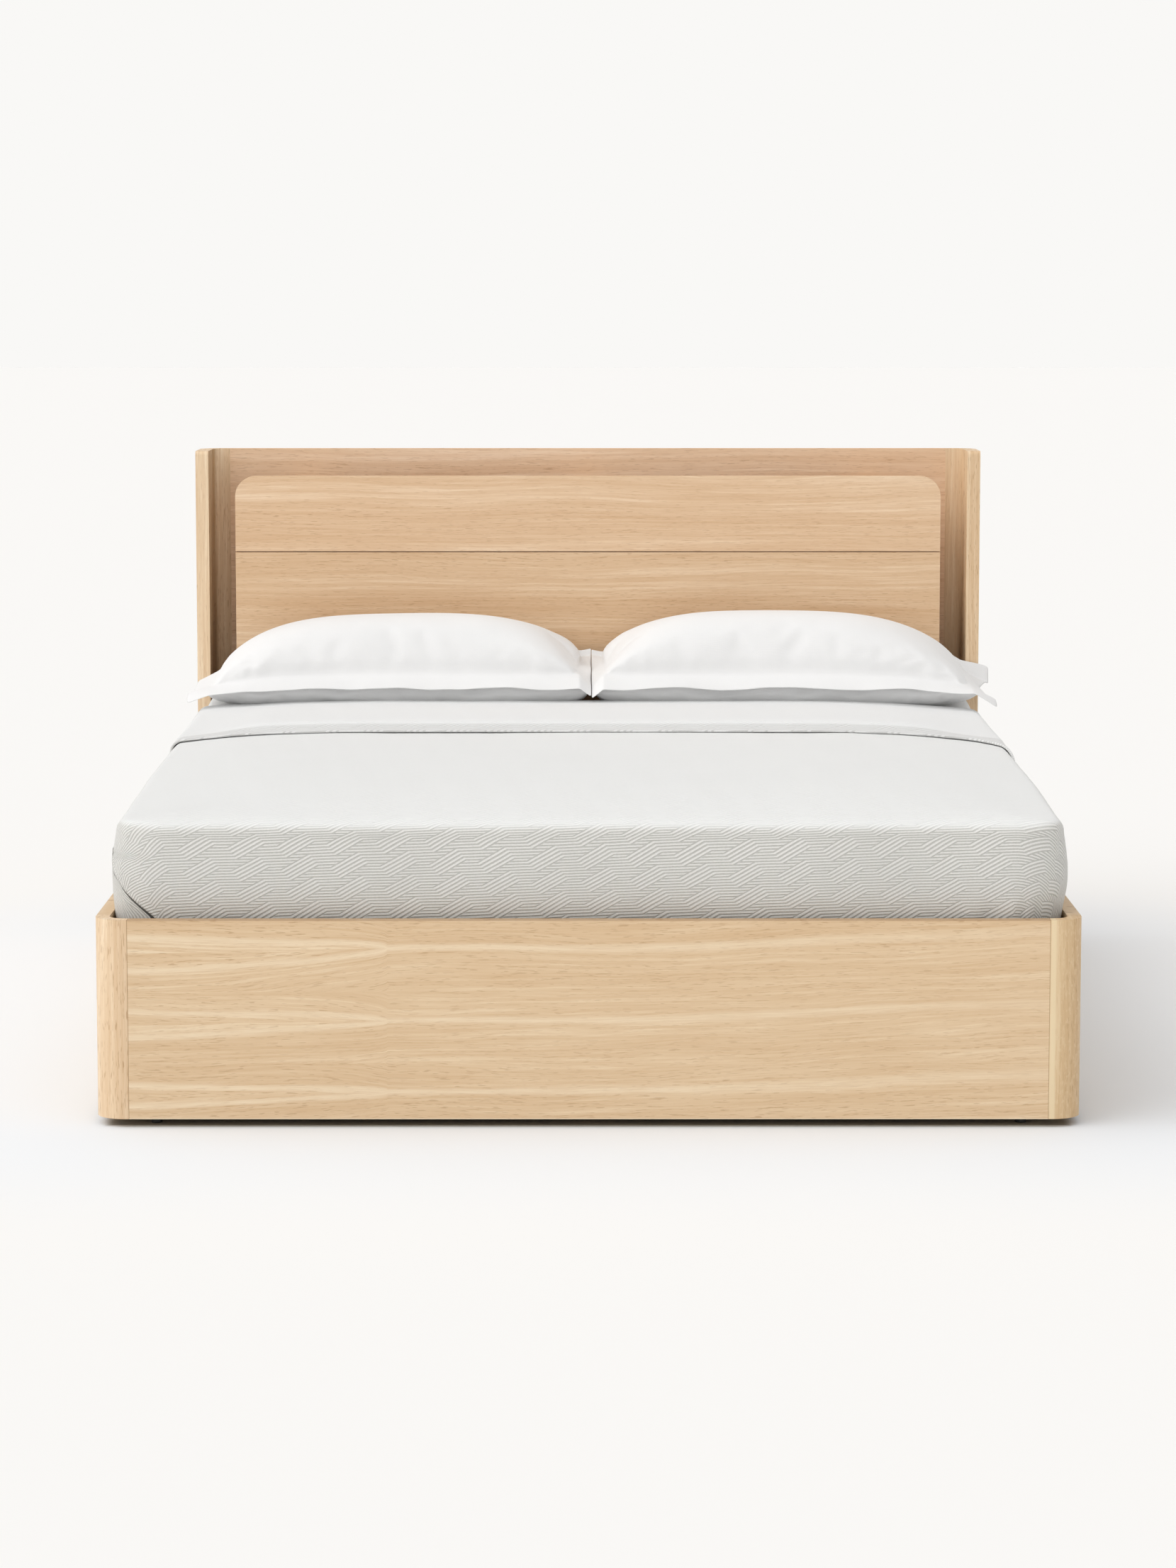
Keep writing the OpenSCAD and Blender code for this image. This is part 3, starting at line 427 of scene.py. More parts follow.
# The top's flat rim outside the core, and the straight height of the sides
RIM = PLAN_R - EDGE_R
WALL = EDGE_Z - EDGE_R - BASE_Z - UNDER_R
CORE_X = SIDE_X - PLAN_R
CORE_FOOT = FOOT_Y + PLAN_R
CORE_HEAD = HEAD_Y - PLAN_R
FOLD_Y = HEAD_Y - 0.290
HEM_Y = FOLD_Y - 0.610


def smooth(value, low, high):
    t = np.clip((np.asarray(value, float) - low) / (high - low), 0.0, 1.0)
    return t * t * (3 - 2 * t)


def wave(x, y, z, scale, seed, octaves=2):
    """Smooth noise from -1 to 1 at arrays of places."""
    x, y, z = np.broadcast_arrays(x, y, z)
    flat = [noise.fractal(Vector((a * scale + seed, b * scale - seed, c * scale)), 1.0, 2.0, octaves)
            for a, b, c in zip(x.ravel(), y.ravel(), z.ravel())]
    return np.array(flat).reshape(x.shape)


def crown(x, y):
    """Rise of the mattress top at a place on it."""
    a = SIDE_X - np.abs(x)
    b = np.minimum(y - FOOT_Y, HEAD_Y - y)
    low = np.minimum(a, b)
    k = np.clip(2 * (low - PLAN_R), 1e-6, 0.15)
    inset = low - np.maximum(k - np.abs(a - b), 0) ** 2 / (4 * k)
    corner = PLAN_R - np.hypot(PLAN_R - a, PLAN_R - b)
    inset = np.where((a < PLAN_R) & (b < PLAN_R), corner, inset)
    return CROWN * (1 - (1 - np.clip((inset - EDGE_R) / CROWN_RUN, 0, 1)) ** 2)


def drop(length, lift):
    """Way out from the core and height on the side of the mattress, at a length of cloth from the core's edge.
    Lift is the distance from the mattress."""
    bend = (EDGE_R + lift) * math.pi / 2
    length = np.asarray(length, float)
    lift = np.broadcast_to(lift, length.shape)
    turn = np.clip((length - RIM) / (EDGE_R + lift), 0, math.pi / 2)
    out = np.minimum(length, RIM) + (EDGE_R + lift) * np.sin(turn)
    z = EDGE_Z + lift - (EDGE_R + lift) * (1 - np.cos(turn))
    down = np.clip(length - RIM - bend, 0, WALL)
    out = out + BULGE * np.sin(np.pi * np.clip(down / WALL, 0, 1))
    low = np.clip((length - RIM - bend - WALL) / UNDER_R, 0, math.pi / 2)
    out = out - UNDER_R * (1 - np.cos(low))
    beyond = np.maximum(length - RIM - bend - WALL - UNDER_R * math.pi / 2, 0)
    return out - beyond, z - down - UNDER_R * np.sin(low)


def drop_length(lift):
    """Length of cloth from the core's edge to the foot of the side."""
    return RIM + (EDGE_R + lift) * math.pi / 2 + WALL


# The foam is pressed down towards the foot, and swells between the rails
FOOT_DIP = 0.013
EDGE_DIP = 0.005
SWELL_LOW = 0.014
# On the left and on the right
SWELL = (0.012, 0.017)
RISE = (0.006, 0.003)
HEAD_RISE = (0.010, 0.003)
SHEET_RISE = (0.013, 0.018)


def settle(points):
    """Moves the skin of the bed to where the mattress has settled."""
    x, y, z = points.T
    across = np.abs(x)
    on_right = smooth(x, -0.3, 0.3)
    swell, rise, head, sheet = (left + (right - left) * on_right
                                for left, right in (SWELL, RISE, HEAD_RISE, SHEET_RISE))
    low = SWELL_LOW + (swell - SWELL_LOW) * smooth(z, 0.362, 0.42)
    swell = low * smooth(across, 0.72, 0.80) * (1 - smooth(z, 0.545, 0.575))
    high = smooth(z, 0.42, 0.52)
    rise = rise * smooth(y, -0.6, 0.1) * smooth(across, 0.52, 0.75) * high
    rise = rise + head * smooth(y, 0.3, 0.9) * smooth(across, 0.69, 0.79) * high
    rise = rise + sheet * smooth(y, 0.650, 0.790) * smooth(across, 0.64, 0.785) * high
    dip = FOOT_DIP * smooth(-y, 0.40, 1.02) * smooth(z, 0.36, 0.52)
    dip = dip + EDGE_DIP * smooth(-y, 1.030, 1.070) * smooth(z, 0.505, 0.530)
    return np.column_stack([x + np.sign(x) * swell, y, z + rise - dip])


def mesh_piece(name, points, faces, mat, cloth=None):
    """A smooth piece; cloth has the place of each point on the flat cloth."""
    mesh = bpy.data.meshes.new(name)
    mesh.from_pydata([tuple(p) for p in points], [], faces)
    mesh.validate()
    if cloth is not None:
        layer = mesh.uv_layers.new(name="cloth")
        index = np.empty(len(mesh.loops), np.int32)
        mesh.loops.foreach_get("vertex_index", index)
        layer.data.foreach_set("uv", np.asarray(cloth, np.float32)[index].ravel())
    mesh.polygons.foreach_set("use_smooth", np.ones(len(mesh.polygons), bool))
    mesh.materials.append(mat)
    piece = bpy.data.objects.new(name, mesh)
    bpy.context.scene.collection.objects.link(piece)
    return piece


def evenly(low, high, step):
    """Places from low to high, about a step apart."""
    return np.linspace(low, high, int(round((high - low) / step)) + 1)


def grid_faces(index):
    """Quads of a grid of point numbers; corners that are the same point make triangles."""
    faces = []
    for i in range(index.shape[0] - 1):
        for j in range(index.shape[1] - 1):
            quad = [index[i, j], index[i + 1, j], index[i + 1, j + 1], index[i, j + 1]]
            quad = [int(q) for k, q in enumerate(quad) if q != quad[k - 1]]
            if len(quad) > 2:
                faces.append(quad)
    return faces


def baked(piece):
    """Applies the modifiers to the mesh."""
    shape = piece.evaluated_get(bpy.context.evaluated_depsgraph_get())
    mesh = bpy.data.meshes.new_from_object(shape)
    piece.modifiers.clear()
    old = piece.data
    piece.data = mesh
    bpy.data.meshes.remove(old)


# ---- fabrics

# Scale of the bands that make the threads
THREADS = 130.0


def cotton(name, colour, shade, crease):
    """White cotton: a fine weave, soft creases and a faint sheen."""
    g = material(name)
    thread, cross = (g.add("TexWave", {"wave_type": "BANDS", "bands_direction": way, "wave_profile": "SIN"},
                           Vector=g.place, Scale=THREADS, Distortion=1.5, Detail=2.0).outputs["Fac"] for way in "XY")
    slub = g.noise(g.place, 420.0, 3.0, 0.6)
    fold = g.noise(g.vector("MULTIPLY", g.place, (9.0, 5.0, 7.0)), 1.0, 3.0, 0.5, 0.6)
    cloud = g.noise(g.place, 7.0, 2.0, 0.5)
    base = g.mix(colour, shade, g.range(cloud, 0.35, 0.68, 0.0, 0.35))
    base = g.mix(base, shade, g.range(slub, 0.50, 0.75, 0.0, 0.25))
    height = g.plus(g.times(g.plus(thread, cross), 0.04), fold)
    return finish_shader(g, base, g.bump(height, crease * 4, 0.6), Roughness=0.85, Specular_IOR_Level=0.2,
                         Sheen_Weight=0.25, Sheen_Roughness=0.5)


# Weave of the coverlet: level ridges with slanting fields, all measured on the cloth in metres
FIELD_ACROSS = 0.0846
FIELD_ALONG = 0.0450
FIELD_SHIFT = 0.0072
FIELD_SLOPE = 0.592
FIELD_RAKE = 0.76
RIDGE = FIELD_ALONG / 8
RIDGE_SLANT = RIDGE * (1 + FIELD_RAKE * FIELD_SLOPE)
# Each ridge climbs five pitches where it crosses a field, and a field is four ridges high
CLIMB = 5 * RIDGE
FIELD_HALF_W = (CLIMB / FIELD_SLOPE + FIELD_RAKE * CLIMB) / 2
FIELD_HALF_H = 2 * RIDGE_SLANT
# Slope of the ridges across the bed
CLOTH_TURN = 0.040
# The fields' edges blur over twice this, and the cloth itself wanders a little
FIELD_BLUR = 0.0004
SWAY = 0.0015
# The painted shade of the folded-back part's band behind the hem fades over this
BAND_FADE = 0.012
# Painted shadow inside the fold of the mitre
FOLD_PAINTED_SHADOW = (0.06, 0.06, 0.055, 1)


def woven(name, light, groove, side_shaded_light, side_shaded_groove, relief=0.0016, contrast=1.0, band=0.0, band_to=0.0):
    """Woven cloth with a pattern of ridges; painted shade makes it darker on the sides than where it lies flat, most
    of all in the grooves. Up to the place band_to along the bed the cloth takes the sides' painted shade, as far as
    band says."""
    g = material(name)
    uv = g.parts(g.add("UVMap", {"uv_map": "cloth"}).outputs[0])
    # Painted shade: the cloth is darker where it doesn't lie flat, most of all in its grooves, for light that comes
    # from above
    lying = g.range(g.parts(g.add("TexCoord").outputs["Normal"])[2], 0.50, 0.985)
    light = g.mix(side_shaded_light, light, lying)
    hem_band_shade = g.range(uv[1], band_to, band_to + BAND_FADE, band, 0.0)
    lying = g.times(lying, g.minus(1.0, hem_band_shade))
    groove = g.mix(side_shaded_groove, groove, lying)
    sway = g.noise(g.place, 6.0, 2.0, 0.5)
    u = g.plus(uv[0], g.range(sway, 0.3, 0.7, -SWAY, SWAY, smooth=False))
    v = g.plus(uv[1], g.range(g.noise(g.place, 4.0, 2.0, 0.5), 0.3, 0.7, -SWAY, SWAY, smooth=False))
    v = g.minus(v, g.times(u, CLOTH_TURN))

    column = g.math("ROUND", g.times(g.plus(u, g.times(v, FIELD_SHIFT / FIELD_ALONG)), 1 / FIELD_ACROSS))
    left = g.minus(u, g.times(column, FIELD_ACROSS))
    row = g.math("ROUND", g.times(g.minus(v, g.times(left, FIELD_SLOPE)),
                                  1 / (FIELD_ALONG + FIELD_SLOPE * FIELD_SHIFT)))
    dx = g.plus(left, g.times(row, FIELD_SHIFT))
    dy = g.minus(v, g.times(row, FIELD_ALONG))
    slant = g.minus(dy, g.times(dx, FIELD_SLOPE))
    reach = g.plus(dx, g.times(dy, FIELD_RAKE))

    def within(distance, half):
        return g.range(distance, half - FIELD_BLUR, half + FIELD_BLUR, 1, 0)

    between_ends = within(g.absolute(reach), FIELD_HALF_W)
    off_middle = g.absolute(slant)
    inside = g.times(between_ends, within(off_middle, FIELD_HALF_H))
    rim = g.absolute(g.minus(off_middle, FIELD_HALF_H))
    rim = g.times(between_ends, g.range(rim, 0.0003, 0.0016, 1, 0))

    def ridges(place, pitch):
        return g.range(g.math("COSINE", g.times(place, 2 * math.pi / pitch)), -0.85, 0.45)

    level = ridges(v, RIDGE)
    slanted = ridges(g.plus(slant, RIDGE_SLANT / 2), RIDGE_SLANT)
    ridge = g.plus(g.times(level, g.minus(1.0, inside)), g.times(slanted, inside))
    ridge = g.times(ridge, g.minus(1.0, rim))
    yarn = g.stretched(u, v, 0.0, (900.0, 1500.0, 1.0), 2.0, 0.6)
    patch = g.noise(g.place, 3.5, 3.0, 0.55)
    fleck = g.stretched(u, v, 0.0, (260.0, 420.0, 1.0), 2.0, 0.6)
    tone = g.plus(ridge, g.range(fleck, 0.3, 0.7, -0.18, 0.18), clamp=True)
    base = g.mix(groove, light, g.plus(g.times(tone, contrast), (1 - contrast) * 0.6))
    base = g.mix(base, groove, g.range(patch, 0.42, 0.72, 0.0, 0.16))
    # Painted shade flecks in the band behind the hem
    base = g.mix(base, side_shaded_groove, g.times(hem_band_shade, g.range(fleck, 0.35, 0.65, 0.15, 0.45)))
    # Light doesn't reach into the fold of the mitre
    fold = g.add("Attribute", {"attribute_name": "fold"}).outputs["Fac"]
    base = g.mix(base, FOLD_PAINTED_SHADOW, g.range(fold, 0.66, 0.86, 0.0, 0.95))
    height = g.plus(ridge, g.times(yarn, 0.25))
    return finish_shader(g, base, g.bump(height, relief, 0.7), Roughness=0.88, Specular_IOR_Level=0.2,
                         Sheen_Weight=0.5, Sheen_Roughness=0.4)


SHEET_WHITE = cotton("fitted_sheet_cotton", srgb(241, 241, 240), srgb(232, 232, 231), 0.0007)
PILLOW_WHITE = cotton("pillow_cotton", srgb(236, 236, 236), srgb(229, 229, 229), 0.0006)
# Each coverlet has lit colours for where it lies flat, and painted-shade colours for its sides
COVERLET = woven("coverlet_weave", srgb(246, 247, 246), srgb(238, 239, 238), srgb(231, 230, 226), srgb(192, 191, 186))
COVERLET_BACK = woven("coverlet_back_weave", srgb(242, 243, 243), srgb(233, 234, 234), srgb(240, 241, 240),
                      srgb(200, 200, 198), relief=0.0009, contrast=0.8, band=0.85, band_to=HEM_Y + 0.046)


# ---- mattress in its fitted sheet

def round_box():
    """The mattress: a grid on top, rows round its sides, and a grid below."""
    step = 0.02
    xs = evenly(-CORE_X, CORE_X, step)
    ys = evenly(CORE_FOOT, CORE_HEAD, step)
    nx, ny = len(xs), len(ys)
    # Path round the core, with the direction in which the cloth leaves it
    turns = 10

    def corner(i, j, start):
        return [(i, j, math.pi * (start + 0.5 * s / turns)) for s in range(1, turns)]

    path = [(0, j, math.pi) for j in range(ny - 1, -1, -1)] + corner(0, 0, 1)
    path += [(i, 0, math.pi * 1.5) for i in range(nx)] + corner(nx - 1, 0, 1.5)
    path += [(nx - 1, j, 0.0) for j in range(ny)] + corner(nx - 1, ny - 1, 0)
    path += [(i, ny - 1, math.pi * 0.5) for i in range(nx - 1, -1, -1)] + corner(0, ny - 1, 0.5)
    cx = np.array([xs[i] for i, _, _ in path])
    cy = np.array([ys[j] for _, j, _ in path])
    aim = np.array([a for _, _, a in path])
    full = drop_length(0) + UNDER_R * math.pi / 2 + PLAN_R - UNDER_R
    rows = np.concatenate([np.linspace(0, 0.1, 13)[1:], np.linspace(0.1, full - 0.07, 13)[1:],
                           np.linspace(full - 0.07, full, 9)[1:]])
    number = np.arange(nx * ny).reshape(nx, ny)
    rim = np.array([number[i, j] for i, j, _ in path])
    bottom = nx * ny
    points = [np.array([(x, y, EDGE_Z + crown(x, y)) for x in xs for y in ys]),
              np.array([(x, y, BASE_Z) for x in xs for y in ys])]
    table = [rim]
    count = 2 * bottom
    for length in rows[:-1]:
        out, z = drop(length, 0.0)
        x, y = cx + out * np.cos(aim), cy + out * np.sin(aim)
        z = np.where(length <= RIM, EDGE_Z + crown(x, y), z)
        points.append(np.column_stack([x, y, np.broadcast_to(z, x.shape)]))
        table.append(np.arange(count, count + len(path)))
        count += len(path)
    table.append(rim + bottom)
    table = np.array([np.append(row, row[0]) for row in table])
    faces = grid_faces(number) + grid_faces(table) + grid_faces((number + bottom).T)
    return np.concatenate(points), faces


MIDDLE_Y = -0.063

points, faces = round_box()
x, y, z = points.T
beyond = np.maximum(np.abs(x) - (SIDE_X - 0.03), np.maximum(FOOT_Y + 0.03 - y, y - HEAD_Y + 0.03))
side = smooth(beyond, 0, 0.02)
# The sheet's elastic gathers the cloth at the corners, and it creases a little on top
corner = smooth(np.abs(x), SIDE_X - 0.16, SIDE_X - 0.03) * smooth(np.abs(y - MIDDLE_Y), 0.84, 0.96)
gather = np.sin((x - y) * 260 + 2 * wave(x, y, z, 9, 3)) * corner * side * smooth(z, 0.52, 0.36)
crease = wave(x, y * 0.5, z * 2.0, 6.0, 5, 3) * 0.0009
swell = crease + gather * 0.0012
out = np.column_stack([np.sign(x) * smooth(np.abs(x), CORE_X, SIDE_X),
                       np.where(y < MIDDLE_Y, -1, 1) * smooth(np.abs(y - MIDDLE_Y), 0.93, 1.0),
                       1 - side])
points = points + out * (swell * smooth(z, BASE_Z + 0.004, BASE_Z + 0.03))[:, None]
mattress = mesh_piece("mattress_in_fitted_sheet", settle(points), faces, SHEET_WHITE)
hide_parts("mattress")
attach(mattress, "platform")

# ---- coverlet

COVER_LIFT = 0.009
COVER_T = 0.002
R_OUT = PLAN_R + COVER_LIFT
# The mitre of the left front corner: height, and arc from the front face at which the front cloth is folded
MITRE = [(0.33, 0.004), (0.345, 0.008), (0.361, 0.0141), (0.3955, 0.0475), (0.421, 0.072), (0.430, 0.084),
         (0.448, 0.101), (0.462, 0.110), (0.476, 0.114), (0.495, 0.085), (0.515, 0.062), (0.55, 0.062)]
# Over these heights the mitre opens, its hidden layers lie closer, and its painted shadow line reaches the side's
# cloth
MITRE_OPENS = (0.484, 0.464)
MITRE_CLOSER = (0.415, 0.440)
MITRE_SHOWS = (0.418, 0.440)
CLOSER_BY = 0.65
SIDE_DEEP = 0.0028
# How far the front's cloth turns with the corner's arc where it is folded
LEFT_TURN = 0.72
# Lines of cloth between the mitre and the side or the front, and round the right corner
CORNER_LINES = 12
RIGHT_LINES = 20
# Layers of the fold: shift along the arc and distance from the cloth's skin. The first three are the side's cloth,
# and the first four carry the fold's painted shadow
PLEAT = [(0.0055, -0.0028), (-0.003, -0.0034), (-0.011, -0.0034), (-0.0135, -0.0028), (-0.0095, -0.0022),
         (-0.002, -0.0016), (0.0016, -0.0004), (-0.0010, 0.0008), (-0.006, 0.0004)]


def coverlet_shape():
    """Points and faces of the coverlet, the place of each point on the flat cloth, and how much of the fold's painted
    shadow it takes.
    """
    step = 0.015
    xs = evenly(-CORE_X, CORE_X, step)
    ys = evenly(CORE_FOOT, FOLD_Y - 0.012, step)
    nx, ny = len(xs), len(ys)
    full = drop_length(COVER_LIFT) + UNDER_R * math.pi / 2 * 0.93
    rows = np.concatenate([np.linspace(0, RIM, 4)[1:], np.linspace(RIM, RIM + 0.060, 10)[1:],
                           np.arange(RIM + 0.060 + 0.006, full, 0.006), [full]])
    grid = [(x, y) for x in xs for y in ys]
    points = [(x, y, EDGE_Z + COVER_LIFT + crown(x, y)) for x, y in grid]
    cloth = list(grid)
    fold = [0.0] * len(grid)
    table = []
    number = np.arange(nx * ny).reshape(nx, ny)

    def column(core, aim, cloth_at, arc_at=None, lift_at=None, fold_at=None):
        """One line of cloth from the core's edge to the foot of the side. Aim is its way out; at a corner, where
        arc_at gives its place on the arc, aim is -1 on the left and 1 on the right."""
        line = [number[core]]
        cx, cy = xs[core[0]], ys[core[1]]
        for length in rows:
            out, z = drop(length, COVER_LIFT)
            a = arc_at(z) / R_OUT if arc_at else 0.0
            ux, uy = (aim * math.sin(a), -math.cos(a)) if arc_at else aim
            out = float(out) + (lift_at(z) if lift_at else 0.0)
            px, py = cx + ux * out, cy + uy * out
            if length <= RIM:
                z = EDGE_Z + COVER_LIFT + crown(px, py)
            z = float(z)
            line.append(len(points))
            points.append((px, py, z))
            cloth.append(cloth_at(length, z, a))
            fold.append(fold_at(z) if fold_at else 0.0)
        table.append(line)

    # Left side, from the fold to the corner
    for j in range(ny - 1, 0, -1):
        column((0, j), (-1, 0), lambda length, z, a, j=j: (-CORE_X - length, ys[j]))
    # Left corner: the side's cloth runs on under the folded edge of the front's cloth
    quarter = R_OUT * math.pi / 2
    heights, arcs = zip(*MITRE)

    def mitre(z):
        return float(np.interp(z, heights, arcs))

    def fan(z):
        return float(smooth(z, *MITRE_OPENS))

    def sink(z):
        return fan(z) * (1 - CLOSER_BY * float(smooth(z, *MITRE_CLOSER)))

    def shows(z):
        return fan(z) * float(smooth(z, *MITRE_SHOWS))

    def side_cloth(length, z, a):
        reach = (quarter - a * R_OUT) / max(quarter - mitre(z), 0.012)
        near = (-CORE_X - length * math.sin(a), CORE_FOOT - length * math.cos(a))
        far = (-CORE_X - length, CORE_FOOT - 0.10 * min(reach, 1.2))
        t = fan(z)
        return tuple(n * (1 - t) + f * t for n, f in zip(near, far))

    def left_cloth(length, z, a):
        return right_cloth(length, z, a * (1 + (LEFT_TURN - 1) * fan(z)), -1)

    def right_cloth(length, z, a, side=1):
        return side * (CORE_X + length * math.sin(a)), CORE_FOOT - length * math.cos(a)

    for s in range(CORNER_LINES):
        def arc(z, share=s / CORNER_LINES):
            return quarter + (mitre(z) + 0.008 + 0.016 * (1 - fan(z)) - quarter) * share

        def depth(z, share=s / CORNER_LINES):
            return -SIDE_DEEP * sink(z) * float(smooth(share, 0.0, 0.6))
        column((0, 0), -1, side_cloth, arc, depth, shows if s == CORNER_LINES - 1 else None)
    for k, (shift, lift) in enumerate(PLEAT):
        def arc(z, k=k, shift=shift):
            # Where the mitre is shut, the layers lie side by side
            ordered = 0.020 - 0.040 * k / (len(PLEAT) - 1)
            return max(mitre(z) + ordered + (shift - ordered) * fan(z), 0.0)

        def depth(z, lift=lift):
            return lift * (sink(z) if lift < -0.001 else fan(z))
        column((0, 0), -1, side_cloth if k < 3 else left_cloth, arc, depth, fan if k < 4 else None)
    for s in range(1, CORNER_LINES):
        def arc(z, share=s / CORNER_LINES):
            return max(mitre(z) - 0.006 - 0.018 * (1 - fan(z)), 0.0) * (1 - share)
        column((0, 0), -1, left_cloth, arc)
    # Front
    for i in range(nx):
        column((i, 0), (0, -1), lambda length, z, a, i=i: (xs[i], CORE_FOOT - length))
    # Right corner and side
    for s in range(1, RIGHT_LINES):
        column((nx - 1, 0), 1, right_cloth, lambda z, s=s: quarter * s / RIGHT_LINES)
    for j in range(ny):
        column((nx - 1, j), (1, 0), lambda length, z, a, j=j: (CORE_X + length, ys[j]))
    faces = grid_faces(number) + grid_faces(np.array(table).T)
    return np.array(points), faces, np.array(cloth), fold


points, faces, cloth, fold = coverlet_shape()
x, y, z = points.T
# Soft waves on the drop, small gathers at the right front corner, and a faint wander on top
GATHER_PITCH = 0.021
front = smooth(-y, 1.04, 1.06) * smooth(np.abs(x), 0.80, 0.74)
gathers = np.cos(x * 2 * math.pi / GATHER_PITCH + 3 * wave(x, y * 0, z, 14, 8)) * smooth(x, 0.60, 0.68)
gathers = gathers * smooth(x, 0.80, 0.765) * smooth(z, 0.415, 0.365) * front
away = np.column_stack([np.sign(x) * smooth(np.abs(x), 0.79, 0.806), -smooth(-y, 1.05, 1.068),
                        smooth(z, 0.50, 0.53)])
away /= np.maximum(np.linalg.norm(away, axis=1), 0.3)[:, None]
soft = wave(x, y, z, 3.2, 2, 2) * 0.0014 + wave(x, y, z, 11.0, 7, 2) * 0.0006
points = points + away * (soft + gathers * 0.0028 - 0.0012)[:, None]
coverlet = mesh_piece("coverlet_cloth", settle(points), faces, COVERLET, cloth)
# The fold attribute carries the mitre's painted shadow
coverlet.data.attributes.new("fold", "FLOAT", "POINT").data.foreach_set("value", fold)
thick = coverlet.modifiers.new("solidify", "SOLIDIFY")
thick.thickness = COVER_T
thick.offset = -1
# What is tucked in lies flat under the mattress
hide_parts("coverlet")
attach(coverlet, "platform")

# ---- folded-back part of the coverlet

BACK_LIFT = 0.0113
HEM_W = 0.0125
HEM_BULK = 0.0125
# The upper layer runs from this far behind the hem to this far before the fold
LAYER_FROM = 0.0230
LAYER_TO = -0.016


def hem_way(u):
    """How far the hem runs towards the foot, by place across the bed: it swings out over the right side."""
    return 0.20 * smooth(u, 0.74, 0.90) - 0.02 * smooth(-u, 0.80, 0.95)


def turn_down_shape():
    """Points and faces of the folded-back part, and the place of each point on the flat cloth."""
    across = np.concatenate([np.linspace(0, CORE_X, 50), CORE_X + np.concatenate([
        np.linspace(0, 0.042, 4)[1:], np.linspace(0.042, 0.110, 12)[1:],
        np.linspace(0.110, drop_length(BACK_LIFT), 20)[1:]])])
    across = np.concatenate([-across[:0:-1], across])
    # Closed outline along the cloth: place between hem (0) and fold (1), length beyond that place, and lift
    upper = [(0, 0, 0), (0, 0.0006, 0.0015), (0, 0.0022, 0.0027), (0, 0.0050, 0.0031),
             (0, 0.0090, 0.0030), (0, 0.0112, 0.0024), (0, HEM_W, 0.0013), (0, 0.0140, 0.0017),
             (0, 0.0165, 0.0022), (0, LAYER_FROM, 0.0022)]
    upper += [(t, LAYER_FROM * (1 - t) + LAYER_TO * t, 0.0022) for t in np.linspace(0, 1, 42)[1:]]
    nose = [(1, -0.0055 + 0.0062 * math.sin(a), -0.0040 + 0.0062 * math.cos(a))
            for a in np.linspace(0.15, 3.0, 11)]
    lip = [(1, -0.014, -0.0100), (1, -0.0145, -0.0088), (1, -0.010, -0.0082), (1, -0.0075, -0.0055),
           (1, -0.010, -0.0022)]
    lower = [(t, LAYER_FROM * (1 - t) + LAYER_TO * t, -0.0020) for t in np.linspace(1, 0, 42)]
    lower += [(0, 0.0100, -0.0022), (0, 0.0030, -0.0022), (0, 0.0008, -0.0012)]
    loop = np.array(upper + nose + lip + lower)
    points, cloth = [], []
    for u in across:
        side = math.copysign(1.0, u)
        length = max(abs(u) - CORE_X, 0.0)
        out, side_z = (float(way) for way in drop(length, BACK_LIFT))
        turn = min(max((length - RIM) / (EDGE_R + BACK_LIFT), 0.0), math.pi / 2)
        hem = HEM_Y - float(hem_way(u))
        # The folded-back cloth is thicker behind its hem, less so over the edges of the bed
        bulk = HEM_BULK * (1 - float(smooth(abs(u), CORE_X - 0.10, CORE_X + 0.04)))
        for share, more, lift in loop:
            y = hem + (FOLD_Y - hem) * share + more
            if lift > 0.002 and share > 0:
                lift += bulk * float(smooth(share, 0, 0.09) * (1 - smooth(share, 0.4, 0.95)))
            z = side_z if length > RIM else EDGE_Z + BACK_LIFT + float(crown(u, y))
            points.append((side * (min(abs(u), CORE_X) + out + lift * math.sin(turn)), y, z + lift * math.cos(turn)))
            cloth.append((u, y))
    number = np.arange(len(points)).reshape(len(across), len(loop))
    faces = grid_faces(np.column_stack([number, number[:, 0]]))
    faces += [[int(n) for n in number[0]], [int(n) for n in number[-1][::-1]]]
    return np.array(points), faces, np.array(cloth)


points, faces, cloth = turn_down_shape()
x, y, z = points.T
away = np.column_stack([np.sign(x) * smooth(np.abs(x), 0.79, 0.808), 0 * y, smooth(z, 0.50, 0.535)])
away /= np.maximum(np.linalg.norm(away, axis=1), 0.3)[:, None]
soft = (0.5 + 0.5 * wave(x, y, z * 0.5, 4.5, 12, 2)) * 0.0022 * smooth(y, HEM_Y + 0.02, HEM_Y + 0.12)
points = points + away * soft[:, None]
turn_down = mesh_piece("folded_back_cloth", settle(points), faces, COVERLET_BACK, cloth)
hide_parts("turn_down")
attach(turn_down, "platform")

# ---- pillows

PILLOW_D = 0.300
PILLOW_Y = 0.7812
PILLOW_SEAT = float(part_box("pillow_left")[0][2])
# The flange's width, its width where the pillows meet, the share of its width that shows at the back, and half its
# thickness
FLANGE = 0.048
FLANGE_INNER = 0.024
FLANGE_BACK = 0.15
FLANGE_HALF = 0.0012
# Height of the seam, and how far the flange hangs in front, rises at the back and drops at the inner corners
SEAM_FRONT = 0.071
SEAM_BACK = 0.083
FRONT_DROP = 0.026
BACK_RISE = 0.034
INNER_TIP_DROP = 0.011
# How far the stuffing draws the seam in at the middle of the ends and of the long sides
DRAW_X = 0.012
DRAW_Y = 0.07
# How far the stuffing bulges out over the seam, above and below
BULGE_TOP = 0.013
BULGE_LOW = 0.026
